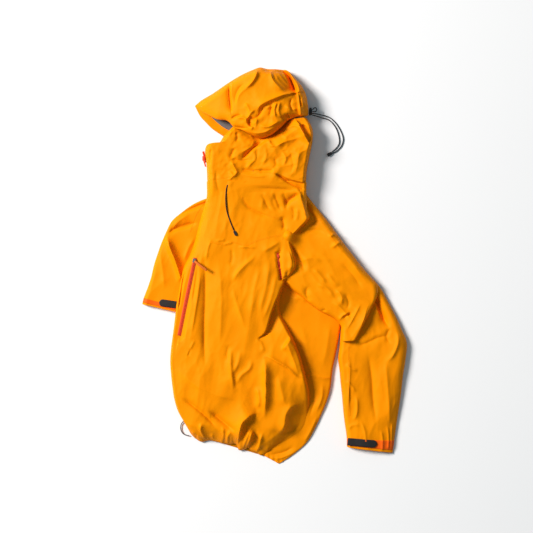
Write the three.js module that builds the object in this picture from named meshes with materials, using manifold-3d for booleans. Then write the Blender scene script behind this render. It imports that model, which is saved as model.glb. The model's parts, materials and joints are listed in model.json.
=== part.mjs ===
// A hardshell jacket laid flat on its right side: hood to +Y, centre front to -X, +Z up from the floor.
// Millimetres. The shell cloth is built as thin arches and sheets that stand on the floor.
import * as THREE from 'three';
import { mergeVertices } from 'three/addons/utils/BufferGeometryUtils.js';
import Module from 'manifold-3d';

const wasm = await Module();
wasm.setup();

// ------------------------------------------------ driving dimensions
const WALL = 2;               // cloth with its lining, as one wall
const GAP = 0.4;              // clearance between neighbouring pieces
const SEAM = 0.6;             // clearance between two panels at a seam
const TORSO_HEIGHT = 50;      // loft of the front fold of the torso
const SIDE_HEIGHT = 24;       // loft of the side and back fold
const NECK_RISE = 6;            // the collar stands higher than the chest by this
const COLLAR_HEIGHT = TORSO_HEIGHT + NECK_RISE;
const HEM_HEIGHT = 34;
const HOOD_HEIGHT = 84;
const SLEEVE_HEIGHT = 36;     // left sleeve
const RIGHT_SLEEVE_FLAT = 9.2;   // right sleeve where it is pressed under the torso
const RIGHT_SLEEVE_HEIGHT = 26;  // right sleeve at its cuff
const CORD_D = 2.8;           // hood cord
const COLLAR_CORD_D = 3.2;    // collar drawcord, doubled strand
const HEM_CORD_D = 3;
const CHEST_ZIP_LENGTH = 220;
const ZIP_TAPE_WIDTH = 10;
const ZIP_TAPE_T = 1.6;
const TEETH_WIDTH = 4;
const TEETH_T = 1.2;
const PIT_ZIP_LENGTH = 72;
const TAB_LENGTH = 78;
const RIGHT_TAB_LENGTH = 37;  // the rest of it is folded away under the torso
const TAB_WIDTH = 21;
const PATCH_WIDTH = 15;
const CUFF_WIDTH = 139;       // left cuff, laid flat
const RIGHT_CUFF_WIDTH = 97;
const ARM_LENGTH = 310;       // the forearm, and the visible right sleeve
const TAB_T = 1.4;
const PATCH_T = 0.8;
const CUFF_BAND = 14;         // length of the bound edge of a cuff

// ------------------------------------------------ outlines, seen from above
const torsoFront = [[-232, -480], [-251, -437], [-274, -389], [-288, -325], [-292, -257], [-282, -157],
  [-271, -73], [-251, 11], [-226, 90], [-204, 154], [-188, 237]];
const torsoFold = [[-30, -529], [43, -476], [90, -400], [90, -325], [65, -243], [31, -168],
  [18, -89], [23, -11], [34, 73], [54, 146], [80, 237]];
const BESIDE = 1.6;           // clearance between the front fold's foot and the side panel beside it
const sideInner = [...torsoFold.slice(0, 6), [19, -96]].map(([x, y]) => [x + BESIDE, y]);
const sideOuter = [[23, -554], [79, -509], [110, -442], [138, -367], [143, -302], [152, -240], [160, -190]];
const collarFront = [[-188, 236.5], [-191, 275], [-194, 311], [-187, 335], [-153, 353], [-128, 386]];
const collarBack = [[80, 236.5], [90, 275], [99, 305], [103, 333], [107, 364], [90, 408]];
const hoodTop = [[-225, 447], [-176, 480], [-125, 513], [-80, 536], [-41, 554], [1, 552], [40, 545],
  [65, 521], [85, 490], [93, 454]];
const hoodNeck = [[-128, 386.1], [-19, 397.1], [90, 408.1]];
const armOuter = [[80, 199], [121, 160], [163, 104], [205, 48], [247, -5], [289, -56], [323, -109],
  [362.5, -189.7]];
const armInner = [[23.6, -9], [38, -56], [85, -95], [132, -126], [174, -157], [184.5, -207.4]];
const forearmOuter = [[363, -190.2], [370, -221], [365, -269], [359, -319], [354, -369], [345, -420],
  [329, -520]];
const forearmInner = [[184, -208], [178, -235], [180, -269], [184, -319], [188, -361], [194, -425], [203, -505]];
const rightArmOuter = [[-177, 180], [-192, 186], [-232, 172], [-274, 142], [-307, 87], [-330, 28], [-349, -39],
  [-363, -75], [-370, -105]];
const rightArmInner = [[-130, 114], [-145, 104], [-167, 87], [-201, 53], [-229, 11], [-254, -39], [-270, -89],
  [-274, -110], [-277, -126]];
const chestZipTop = [-220, 23, TORSO_HEIGHT - 4.5];
const chestZipBottom = [-265, -192, TORSO_HEIGHT - 9];
const pitZipTop = [7, 36];
const pitZipBottom = [17, -36];

// ------------------------------------------------ curves and surfaces
const v3 = (x, y, z = 0) => new THREE.Vector3(x, y, z);
const lerp = (a, b, k) => a + (b - a) * k;

function edge(points) {
  return new THREE.CatmullRomCurve3(points.map(([x, y]) => v3(x, y)), false, 'centripetal');
}

// A height that runs smoothly through a few stops [t, height].
function heights(stops) {
  return (t) => {
    let k = 0;
    while (k < stops.length - 2 && t > stops[k + 1][0]) k += 1;
    const [[t0, h0], [t1, h1]] = [stops[k], stops[k + 1]];
    return lerp(h0, h1, THREE.MathUtils.smoothstep(t, t0, t1));
  };
}

// A lofted arch: t runs along both edges, s from the front edge over the top to the back edge.
// lift moves the point out of the arch (positive) or into it (negative).
function arch(front, back, height, fullness = 4) {
  const a = edge(front);
  const b = edge(back);
  return (t, s, lift = 0) => {
    const p = a.getPointAt(t);
    const q = b.getPointAt(t);
    const across = q.clone().sub(p).normalize();
    p.addScaledVector(across, -lift);
    q.addScaledVector(across, lift);
    const rise = (1 - Math.abs(2 * s - 1) ** fullness) ** (1 / fullness);
    return v3(lerp(p.x, q.x, s), lerp(p.y, q.y, s), Math.max(0, (height(t) + lift) * rise));
  };
}

// The same, open along its inner side: it leaves the inner edge at full height and comes down at the outer one.
function leanTo(front, back, height, fullness = 3) {
  const foot = arch(front, back, () => 0);
  return (t, s, lift = 0) => {
    const p = foot(t, s, lift * Math.max(0, 2 * s - 1));
    return p.setZ(Math.max(0, (height(t) + lift) * (1 - s ** fullness) ** (1 / fullness)));
  };
}

const rounded = (u) => (1 - Math.cos(Math.PI * u)) / 2;

// ------------------------------------------------ solids
// A closed body between an outer and an inner grid of points; a ring grid wraps around.
function skin(outer, inner, ring = false) {
  const rows = outer.length;
  const cols = outer[0].length;
  const steps = ring ? cols : cols - 1;
  const at = (layer, j, i) => layer * rows * cols + j * cols + (i % cols);
  const index = [];
  const quad = (a, b, c, d) => index.push(a, b, c, a, c, d);
  for (let i = 0; i < steps; i += 1) {
    for (let j = 0; j < rows - 1; j += 1) {
      quad(at(0, j, i), at(0, j, i + 1), at(0, j + 1, i + 1), at(0, j + 1, i));
      quad(at(1, j, i), at(1, j + 1, i), at(1, j + 1, i + 1), at(1, j, i + 1));
    }
    const r = rows - 1;
    quad(at(0, 0, i + 1), at(0, 0, i), at(1, 0, i), at(1, 0, i + 1));
    quad(at(0, r, i), at(0, r, i + 1), at(1, r, i + 1), at(1, r, i));
  }
  for (let j = 0; j < rows - 1 && !ring; j += 1) {
    const c = cols - 1;
    quad(at(0, j, 0), at(0, j + 1, 0), at(1, j + 1, 0), at(1, j, 0));
    quad(at(0, j + 1, c), at(0, j, c), at(1, j, c), at(1, j + 1, c));
  }
  const geometry = new THREE.BufferGeometry();
  const points = [...outer.flat(), ...inner.flat()].flatMap((p) => [p.x, p.y, p.z]);
  geometry.setAttribute('position', new THREE.Float32BufferAttribute(points, 3));
  geometry.setIndex(index);
  return facingOut(geometry);
}

function facingOut(geometry) {
  const p = geometry.getAttribute('position');
  const f = geometry.getIndex();
  let volume = 0;
  for (let k = 0; k < f.count; k += 3) {
    const [a, b, c] = [0, 1, 2].map((n) => v3().fromBufferAttribute(p, f.getX(k + n)));
    volume += a.dot(b.cross(c));
  }
  if (volume < 0) f.array.reverse();
  geometry.computeVertexNormals();
  return geometry;
}

// Points of a surface over [t0, t1] x [s0, s1].
function grid(surface, [t0, t1], [s0, s1], lift, rows, cols) {
  return Array.from({ length: rows + 1 }, (_, j) =>
    Array.from({ length: cols + 1 }, (__, i) =>
      surface(lerp(t0, t1, j / rows), lerp(s0, s1, rounded(i / cols)), lift)));
}

function panel(surface, tRange, sRange, rows, cols, wall = WALL, lift = 0) {
  const layer = (off) => grid(surface, tRange, sRange, off, rows, cols);
  return skin(layer(lift), layer(lift - wall));
}

// A flat sheet on the floor, inside the two feet of an arch.
function sheet(surface, tRange, rows, thick = WALL, insets = [WALL + GAP, WALL + GAP]) {
  const row = (z) => (t) => [0, 1].map((s) => surface(t, s, -insets[s]).setZ(z));
  const ts = Array.from({ length: rows + 1 }, (_, j) => lerp(...tRange, j / rows));
  return skin(ts.map(row(thick)), ts.map(row(0)));
}

// A closed sleeve: an arch whose floor side is part of it, open at both ends.
function sleeve(surface, tRange, rows, cols, wall = WALL) {
  const ring = (lift, z) => (t) => {
    const top = Array.from({ length: cols + 1 }, (_, i) => {
      const p = surface(t, rounded(i / cols), lift);
      return p.setZ(Math.max(p.z, z));
    });
    const [first, last] = [top[0], top[cols]];
    const under = [0.75, 0.5, 0.25].map((k) => first.clone().lerp(last, k).setZ(z));
    return [...top, ...under];
  };
  const ts = Array.from({ length: rows + 1 }, (_, j) => lerp(...tRange, j / rows));
  return skin(ts.map(ring(0, 0)), ts.map(ring(-wall, wall)), true);
}

function toManifold(geometry) {
  let g = geometry.clone();
  g.deleteAttribute('normal');
  g.deleteAttribute('uv');
  g = mergeVertices(g, 1e-4);
  const vertProperties = Float32Array.from(g.getAttribute('position').array);
  const triVerts = Uint32Array.from(g.getIndex().array);
  return new wasm.Manifold(new wasm.Mesh({ numProp: 3, vertProperties, triVerts }));
}

function fromManifold(solid) {
  const mesh = solid.getMesh();
  const g = new THREE.BufferGeometry();
  g.setAttribute('position', new THREE.BufferAttribute(Float32Array.from(mesh.vertProperties), 3));
  g.setIndex(new THREE.BufferAttribute(Uint32Array.from(mesh.triVerts), 1));
  g.computeVertexNormals();
  return g;
}

const cut = (from, ...tools) => fromManifold(tools.reduce((m, t) => m.subtract(toManifold(t)), toManifold(from)));

function box(x, y, z, at = [0, 0, 0]) {
  return new THREE.BoxGeometry(x, y, z).translate(...at);
}

// A block with rounded upright corners, its floor at z = 0.
function block(x, y, z, r, at = [0, 0, 0]) {
  const s = new THREE.Shape();
  s.moveTo(-x / 2 + r, -y / 2);
  s.lineTo(x / 2 - r, -y / 2);
  s.absarc(x / 2 - r, -y / 2 + r, r, -Math.PI / 2, 0);
  s.absarc(x / 2 - r, y / 2 - r, r, 0, Math.PI / 2);
  s.absarc(-x / 2 + r, y / 2 - r, r, Math.PI / 2, Math.PI);
  s.absarc(-x / 2 + r, -y / 2 + r, r, Math.PI, 1.5 * Math.PI);
  const g = new THREE.ExtrudeGeometry(s, { depth: z, bevelEnabled: false, curveSegments: 4 });
  return g.translate(...at);
}

// A cord of round section along hand-chosen points [x, y, z].
function cord(points, diameter, steps) {
  const section = new THREE.Shape();
  for (let k = 0; k < 8; k += 1) {
    const a = (Math.PI / 4) * k;
    const [x, y] = [Math.cos(a) * diameter / 2, Math.sin(a) * diameter / 2];
    if (k) section.lineTo(x, y);
    else section.moveTo(x, y);
  }
  section.closePath();
  const extrudePath = new THREE.CatmullRomCurve3(points.map((p) => v3(...p)), false, 'centripetal');
  return new THREE.ExtrudeGeometry(section, { steps, extrudePath, bevelEnabled: false });
}

// ------------------------------------------------ materials
const cloth = () => new THREE.MeshStandardMaterial({ color: 0xffa000, roughness: 0.62, metalness: 0 });
const coral = () => new THREE.MeshStandardMaterial({ color: 0xe2502d, roughness: 0.5, metalness: 0 });
const grey = () => new THREE.MeshStandardMaterial({ color: 0x8a8a8a, roughness: 0.7, metalness: 0 });
const black = () => new THREE.MeshStandardMaterial({ color: 0x1c1a1a, roughness: 0.5, metalness: 0 });
const steel = () => new THREE.MeshStandardMaterial({ color: 0x9a9a9a, roughness: 0.3, metalness: 1 });

const group = new THREE.Group();

function add(name, geometry, material, parent = group) {
  const mesh = new THREE.Mesh(geometry, material);
  mesh.name = name;
  parent.add(mesh);
  return mesh;
}

// ------------------------------------------------ torso
const YOKE_T = 0.74;          // where the yoke seam crosses, as a share of the torso's edges
const torso = arch(torsoFront, torsoFold, heights([[0, HEM_HEIGHT], [0.2, TORSO_HEIGHT],
  [0.8, TORSO_HEIGHT], [1, COLLAR_HEIGHT]]));
const side = leanTo(sideInner, sideOuter, () => SIDE_HEIGHT);

// Everything on the chest zip lies in its own tilted frame: x down the zip, y across it, z out of the cloth.
const zipStart = v3(...chestZipTop);
const zipRun = v3(...chestZipBottom).sub(zipStart).normalize();
const ZIP_TILT = THREE.MathUtils.degToRad(17);
const zipSide = v3(0, 0, 1).cross(zipRun).normalize();
const zipFrame = new THREE.Group();
zipFrame.position.copy(zipStart);
zipFrame.quaternion.setFromRotationMatrix(new THREE.Matrix4().makeBasis(
  zipRun, zipSide, zipRun.clone().cross(zipSide)));
zipFrame.rotateX(ZIP_TILT);
zipFrame.updateMatrixWorld();
group.add(zipFrame);

const zipSlot = box(CHEST_ZIP_LENGTH + 2 * GAP, ZIP_TAPE_WIDTH + 2 * GAP, 30, [CHEST_ZIP_LENGTH / 2, 0, 0])
  .applyMatrix4(zipFrame.matrixWorld);

// The underarm zip stands in a slot near the back fold.
const pitStart = v3(...pitZipTop);
const pitRun = v3(...pitZipBottom).sub(pitStart).normalize();
const pitFrame = new THREE.Group();
const PIT_Z = 0.81 * TORSO_HEIGHT;
pitFrame.position.set(pitStart.x, pitStart.y, PIT_Z);
pitFrame.rotation.z = Math.atan2(pitRun.y, pitRun.x);
pitFrame.updateMatrixWorld();
group.add(pitFrame);
const PIT_TAPE_WIDTH = 7;
const pitSlot = box(PIT_ZIP_LENGTH + 2 * GAP, PIT_TAPE_WIDTH + 2 * GAP, 60, [PIT_ZIP_LENGTH / 2, 0, 20])
  .applyMatrix4(pitFrame.matrixWorld);

// The opening at the foot of the front edge through which the flattened right sleeve comes out.
const sleeveSlot = (() => {
  const s = new THREE.Shape();
  [[-310, -160], [-250, -160], [-100, 60], [-80, 130], [-120, 226], [-230, 226]].forEach(([x, y], k) => {
    if (k) s.lineTo(x, y);
    else s.moveTo(x, y);
  });
  s.closePath();
  return new THREE.ExtrudeGeometry(s, { depth: RIGHT_SLEEVE_FLAT + GAP + 4, bevelEnabled: false }).translate(0, 0, -4);
})();

const T_FRONT = [0.004, YOKE_T];
const T_YOKE = [YOKE_T + SEAM / 700, 0.999];
add('front_panel_left', cut(panel(torso, T_FRONT, [0, 1], 22, 18), zipSlot, sleeveSlot, pitSlot), cloth());
add('front_panel_right', cut(sheet(torso, T_FRONT, 22), sleeveSlot), cloth());
add('shoulder_yoke_left', cut(panel(torso, T_YOKE, [0, 1], 8, 18), sleeveSlot, pitSlot), cloth());
add('shoulder_yoke_right', cut(sheet(torso, T_YOKE, 8), sleeveSlot), cloth());
const T_SIDE = [0.004, 1];
add('side_panel_left', panel(side, T_SIDE, [0, 1], 14, 14), cloth());
add('back_panel', sheet(arch(sideInner, sideOuter, () => 0), T_SIDE, 14, WALL, [0, WALL + 2 * GAP]), cloth());


// The hem is faced inside with a tape, and its drawcord runs along the tape.
add('hem_facing', panel(torso, [0.006, 0.03], [0.04, 0.96], 2, 18, 1, -WALL - GAP), cloth());
const hemCord = [[-219, -475, -13.5], [-200, -478, -8], [-160, -488, -6], [-110, -501, -5.5], [-70, -511, -7],
  [-47, -517, -11.5]].map(([x, y, z]) => [x, y, HEM_HEIGHT + z]);
add('hem_drawcord', cord(hemCord, HEM_CORD_D, 32), grey());
const hemLoop = [[-254.6, -432.4, 4], [-262, -444, 3.6], [-262, -459, 3.6], [-254, -470, 3.6], [-239.2, -474.6, 4]];
add('hem_cord_loop', cord(hemLoop, HEM_CORD_D, 14), grey());

// ------------------------------------------------ main zip, along the centre front
const ZIP_STAND = -0.4;       // from the foot of the wall, which leans in above it
const ZIP_FOOT = RIGHT_SLEEVE_FLAT + 2.8;
const MAIN_ZIP_H = 9;
const MAIN_ZIP_T = 1.6;

function standingStrip(surface, [t0, t1], rows, [foot, height], thick, off) {
  const row = (lift) => (t) => [foot, foot + height].map((z) => surface(t, 0, lift).setZ(z));
  const ts = Array.from({ length: rows + 1 }, (_, j) => lerp(t0, t1, j / rows));
  return skin(ts.map(row(off + thick)), ts.map(row(off)));
}

const collar = arch(collarFront, collarBack, () => COLLAR_HEIGHT);
add('main_zip', standingStrip(torso, [0.01, 0.995], 30, [ZIP_FOOT, MAIN_ZIP_H], MAIN_ZIP_T, ZIP_STAND), coral());
add('main_zip_collar', standingStrip(collar, [0.01, 0.47], 12, [ZIP_FOOT, MAIN_ZIP_H], MAIN_ZIP_T, ZIP_STAND), coral());

// ------------------------------------------------ collar
add('collar_left', panel(collar, [SEAM / 150, 0.995], [0, 1], 10, 16), cloth());
add('collar_right', sheet(collar, [SEAM / 150, 0.995], 10), cloth());

// Inside the front edge a storm flap backs the zip, and a guard covers its top.
const FLAP_T = 1;
const FLAP_H = 12;
// The front edge leans in more the higher the flap reaches up it, and less on a taller body.
const flapLean = 5 * ((ZIP_FOOT + FLAP_H) / 24) ** 4 * (50 / TORSO_HEIGHT) ** 2;
const INSIDE = -(WALL + FLAP_T + flapLean);
const GUARD_INSIDE = -(WALL + FLAP_T + 3.4);
add('storm_flap', standingStrip(torso, [0.16, 0.7], 18, [ZIP_FOOT, FLAP_H], FLAP_T, INSIDE), cloth());
add('chin_guard', standingStrip(collar, [0.2, 0.42], 5, [ZIP_FOOT, FLAP_H], FLAP_T, GUARD_INSIDE), grey());
const LOOP_Y = 262;
const hangLoop = [[-60, -4], [-54, -16], [-25, -21], [4, -16], [10, -4]]
  .map(([x, z]) => [x, LOOP_Y, COLLAR_HEIGHT + z]);
add('hang_loop', cord(hangLoop, HEM_CORD_D, 14), black());

// The main zip's slider rides on the straight stretch at the collar; its pull hangs from it.
const MAIN_SLIDER = [6, 13, 5.5];
const mainSliderAt = [-198.6, 300, ZIP_FOOT + 1.8];
add('main_zip_slider', block(...MAIN_SLIDER, 1.5, mainSliderAt), black());
add('main_zip_pull', block(4.5, 26, 2, 1.2, [-198.6, 279.8, ZIP_FOOT + 4]), black());

// ------------------------------------------------ chest pocket
const CHEST_TAPE_Z = -ZIP_TAPE_T / 2;
add('chest_zip_tape', box(CHEST_ZIP_LENGTH, ZIP_TAPE_WIDTH, ZIP_TAPE_T,
  [CHEST_ZIP_LENGTH / 2, 0, CHEST_TAPE_Z]), coral(), zipFrame);
add('chest_zip_teeth', box(CHEST_ZIP_LENGTH - 6, TEETH_WIDTH, TEETH_T,
  [CHEST_ZIP_LENGTH / 2, 0, GAP + TEETH_T / 2]), coral(), zipFrame);
const SLIDER_REST = 8;        // from the top of the zip to the middle of its slider
const CHEST_SLIDER = [11, 8, 3.4];
add('chest_zip_slider', block(...CHEST_SLIDER, 1.6, [SLIDER_REST, 0, 2 * GAP + TEETH_T]), black(), zipFrame);

// The chest zip's pull: a thin shackle with a cord grip, hinged on the slider and lying across the chest.
const PULL_LENGTH = 46;
const pullPivot = zipFrame.localToWorld(v3(SLIDER_REST, 0, 2 * GAP + TEETH_T + CHEST_SLIDER[2] + GAP + 2.4));
const pullFrame = new THREE.Group();
pullFrame.position.copy(pullPivot);
pullFrame.rotation.set(0, THREE.MathUtils.degToRad(-9), THREE.MathUtils.degToRad(-35), 'ZYX');
group.add(pullFrame);
add('chest_zip_pull', block(PULL_LENGTH, 5, 2.4, 2.3, [PULL_LENGTH / 2 - 2.5, 0, -1.2]), black(), pullFrame);

// The pocket bag hangs inside the front panel, under the zip.
add('chest_pocket_bag', panel(torso, [0.35, 0.68], [0.2, 0.62], 4, 5, 1, -WALL - 1), cloth());

// ------------------------------------------------ underarm zip
const PIT_TAPE_T = 1.6;
add('pit_zip', box(PIT_ZIP_LENGTH, PIT_TAPE_WIDTH, PIT_TAPE_T, [PIT_ZIP_LENGTH / 2, 0, 0]), coral(), pitFrame);
add('pit_zip_slider', block(9, 6, 3, 1.2, [8, 0, PIT_TAPE_T / 2 + GAP]), black(), pitFrame);

// ------------------------------------------------ hood
const T_BRIM = 0.3;           // the brim's share of the hood's length
const CROWN_S = 0.36;         // the crown panel's share across, from the top edge
const hood = arch(hoodTop, hoodNeck, heights([[0, 44], [0.35, HOOD_HEIGHT], [0.75, HOOD_HEIGHT], [1, 40]]), 3);
const hoodT = SEAM / 330;
const hoodS = SEAM / 150;
add('hood_brim', panel(hood, [0, T_BRIM], [0, 1], 6, 14), cloth());
add('hood_crown', panel(hood, [T_BRIM + hoodT, 1], [0, CROWN_S], 12, 7), cloth());
add('hood_side_left', panel(hood, [T_BRIM + hoodT, 1], [CROWN_S + hoodS, 1], 12, 9), cloth());
add('hood_side_right', sheet(hood, [0, 1], 18, WALL, [WALL + 4 * GAP, WALL + 4 * GAP]), cloth());
add('hood_lining', panel(hood, [0.02, 0.55], [0.12, 0.88], 6, 8, 1, -WALL - 1.6), grey());

// The back of the hood is closed by a small panel that carries the cinch cord's lock.
const backTop = v3(...hoodTop.at(-1));
const backFoot = v3(...hoodNeck.at(-1));
const backLength = backTop.distanceTo(backFoot);
const backFrame = new THREE.Group();
backFrame.position.copy(backTop).lerp(backFoot, 0.5);
backFrame.rotation.z = Math.atan2(backTop.y - backFoot.y, backTop.x - backFoot.x) - Math.PI / 2;
backFrame.updateMatrixWorld();
group.add(backFrame);
const BACK_H = 30;
const LOCK = [9, 17, 12];
const BACK_T = 1.6;
add('hood_back_panel', box(BACK_T, backLength, BACK_H, [GAP + BACK_T / 2 + 0.6, 0, BACK_H / 2]), cloth(), backFrame);

// ------------------------------------------------ left sleeve
const upperArm = arch(armInner, armOuter, heights([[0, 46], [0.25, SLEEVE_HEIGHT], [1, SLEEVE_HEIGHT]]), 3.4);
const forearm = arch(forearmInner, forearmOuter, heights([[0, SLEEVE_HEIGHT], [1, 26]]), 3.4);
const armholeT = SEAM / 400;
const bandT = CUFF_BAND / ARM_LENGTH;
add('left_upper_sleeve', sleeve(upperArm, [armholeT, 1], 12, 12), cloth());
add('left_lower_sleeve', sleeve(forearm, [0, 1 - bandT], 10, 12), cloth());
add('left_cuff_band', sleeve(forearm, [1 - bandT + SEAM / ARM_LENGTH, 1], 1, 12), coral());

// ------------------------------------------------ right sleeve, coming out from under the torso
// It is flat towards the torso and fuller towards its outer edge and its cuff.
const rightFull = arch(rightArmOuter, rightArmInner, heights([[0, RIGHT_SLEEVE_FLAT], [0.4, RIGHT_SLEEVE_FLAT],
  [1, RIGHT_SLEEVE_HEIGHT]]), 3.4);
const rightFlat = arch(rightArmOuter, rightArmInner, () => RIGHT_SLEEVE_FLAT, 3.4);
function rightArm(t, s, lift) {
  const p = rightFull(t, s, lift);
  const q = rightFlat(t, s, lift);
  return p.setZ(lerp(p.z, q.z, THREE.MathUtils.smoothstep(s, 0.25, 0.62)));
}
add('right_sleeve', sleeve(rightArm, [0, 1 - bandT], 14, 12), cloth());
add('right_cuff_band', sleeve(rightArm, [1 - bandT + SEAM / ARM_LENGTH, 1], 1, 12), coral());

// ------------------------------------------------ cuff tabs and their hook patches
// A tab lies along [sRoot, sTip] of a sleeve's surface and narrows to a round tip.
function tab(surface, tMid, halfT, sRoot, sTip, lift, thick) {
  const rows = 4;
  const cols = 10;
  const points = (off) => Array.from({ length: rows + 1 }, (_, j) =>
    Array.from({ length: cols + 1 }, (__, i) => {
      const k = i / cols;
      const round = Math.sqrt(1 - Math.max(0, (k - 0.85) / 0.15) ** 2 * 0.85);
      return surface(tMid + halfT * round * (2 * j / rows - 1), lerp(sRoot, sTip, k), off);
    }));
  return skin(points(lift + thick), points(lift));
}

const PATCH_LIFT = GAP;
const TAB_LIFT = 2 * GAP + PATCH_T;
const PUCKER = 0.5;           // the flat right cuff is puckered, so its patch sits a little higher
const TAB_T_MID = 0.956;      // the tab's middle, as a share of the sleeve's length
const halfTab = TAB_WIDTH / 2 / ARM_LENGTH;
const halfPatch = PATCH_WIDTH / 2 / ARM_LENGTH;
const LEFT_ROOT = 0.06;
const RIGHT_ROOT = 0.86;
const leftTip = LEFT_ROOT + TAB_LENGTH / CUFF_WIDTH;
const rightTip = RIGHT_ROOT - RIGHT_TAB_LENGTH / RIGHT_CUFF_WIDTH;
add('left_hook_patch', tab(forearm, TAB_T_MID, halfPatch, LEFT_ROOT + 0.1, leftTip - 0.12, PATCH_LIFT, PATCH_T), black());
add('left_cuff_tab', tab(forearm, TAB_T_MID, halfTab, LEFT_ROOT, leftTip, TAB_LIFT, TAB_T), black());
add('right_hook_patch', tab(rightArm, TAB_T_MID, halfPatch, RIGHT_ROOT - 0.08, rightTip + 0.12,
  PATCH_LIFT + PUCKER, PATCH_T), black());
add('right_cuff_tab', tab(rightArm, TAB_T_MID, halfTab, RIGHT_ROOT, rightTip, TAB_LIFT + PUCKER, TAB_T), black());

// ------------------------------------------------ hood cinch cord
const LOCK_AT = [99.4, 429, 20];
const BUTTON_R = 3;
const BUTTON_TRAVEL = 2.5;
const BORE_DEPTH = 11;
const BORE_CLEAR = 0.35;
const lockTop = LOCK_AT[1] + LOCK[1] / 2;
const alongY = (g, y) => g.rotateX(Math.PI / 2).translate(LOCK_AT[0], y, LOCK_AT[2]);
const lockBody = cut(
  block(LOCK[0], LOCK[1], LOCK[2], 2, [LOCK_AT[0], LOCK_AT[1], LOCK_AT[2] - LOCK[2] / 2]),
  new THREE.CylinderGeometry(BUTTON_R + BORE_CLEAR, BUTTON_R + BORE_CLEAR, BORE_DEPTH, 20)
    .translate(LOCK_AT[0], lockTop - BORE_DEPTH / 2 + 0.01, LOCK_AT[2]),
);
add('hood_cord_lock_body', lockBody, black());
const BUTTON_LENGTH = 7;
add('hood_cord_lock_button', new THREE.CylinderGeometry(BUTTON_R, BUTTON_R, BUTTON_LENGTH, 20)
  .translate(LOCK_AT[0], lockTop + BUTTON_TRAVEL + 0.8 - BUTTON_LENGTH / 2, LOCK_AT[2]), black());
const SPRING_TURNS = 3;
const SPRING_LENGTH = 3.2;
const springFoot = lockTop - BORE_DEPTH + GAP + 0.3;
const coil = Array.from({ length: SPRING_TURNS * 8 + 1 }, (_, k) => {
  const a = (Math.PI / 4) * k;
  return [LOCK_AT[0] + 2.2 * Math.cos(a), springFoot + SPRING_LENGTH * k / (SPRING_TURNS * 8),
    LOCK_AT[2] + 2.2 * Math.sin(a)];
});
add('hood_cord_lock_spring', cord(coil, 0.6, SPRING_TURNS * 12), steel());

const hoodBight = [[105, 435, 22], [112, 441, 22], [117, 436, 22], [113, 430, 22], [105, 430.5, 22]];
add('hood_cord_bight', cord(hoodBight, CORD_D, 16), black());
const strandA = [[104.8, 426, 17], [127, 423, 9], [155, 415, 2], [177, 392, 2], [191, 361, 2],
  [188, 339, 2], [175, 323, 2], [161.6, 315.2, 2]];
const strandB = [[104.8, 421.6, 15], [127, 416, 7], [153, 408, 2], [171, 387, 2], [180, 361, 2],
  [180, 342, 2], [170, 328, 2], [159.2, 318.9, 2]];
add('hood_cord_strand_a', cord(strandA, CORD_D, 40), black());
add('hood_cord_strand_b', cord(strandB, CORD_D, 40), black());
const END = [14, 9, 5];
const endFrame = new THREE.Group();
endFrame.position.set(153.6, 313.2, 0.2);
endFrame.rotation.z = Math.PI / 6;
group.add(endFrame);
add('hood_cord_end', block(...END, 3), black(), endFrame);

// ------------------------------------------------ collar cord
add('collar_eyelet', cut(
  new THREE.CylinderGeometry(4.5, 4.5, 1.8, 20).rotateX(Math.PI / 2).translate(-130, 230, TORSO_HEIGHT + 6.3),
  new THREE.CylinderGeometry(2, 2, 6, 16).rotateX(Math.PI / 2).translate(-130, 230, TORSO_HEIGHT + 6.3),
), black());
const collarCord = [[-130.5, 224, 8.2], [-134, 207, 7.6], [-135, 179, 6], [-132, 151, 3.6], [-122, 121, 2.4],
  [-113, 99, 2]].map(([x, y, z]) => [x, y, TORSO_HEIGHT + z]);
add('collar_cord', cord(collarCord, COLLAR_CORD_D, 40), black());
const collarEndFrame = new THREE.Group();
collarEndFrame.position.set(-109.7, 91.4, TORSO_HEIGHT + 0.2);
collarEndFrame.rotation.z = THREE.MathUtils.degToRad(-66);
group.add(collarEndFrame);
add('collar_cord_end', block(14, 7, 4, 2.4, [0.6, 0, 0]), black(), collarEndFrame);

// ------------------------------------------------ hem cord lock, inside the front corner of the hem
const HEM_LOCK = [14, 10, 8];
const hemLockAt = [-212, -452, WALL + GAP];
add('hem_cord_lock_body', cut(block(...HEM_LOCK, 2, hemLockAt),
  new THREE.CylinderGeometry(2.85, 2.85, 9, 20).rotateZ(Math.PI / 2)
    .translate(hemLockAt[0] + HEM_LOCK[0] / 2 - 4.49, hemLockAt[1], hemLockAt[2] + HEM_LOCK[2] / 2)), black());
add('hem_cord_lock_button', new THREE.CylinderGeometry(2.5, 2.5, 6, 20).rotateZ(Math.PI / 2)
  .translate(hemLockAt[0] + HEM_LOCK[0] / 2 + 0.2, hemLockAt[1], hemLockAt[2] + HEM_LOCK[2] / 2), black());

export default group;
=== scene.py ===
import json
import math

import bpy
import numpy as np
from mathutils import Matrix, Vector, noise
from mathutils.bvhtree import BVHTree


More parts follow.
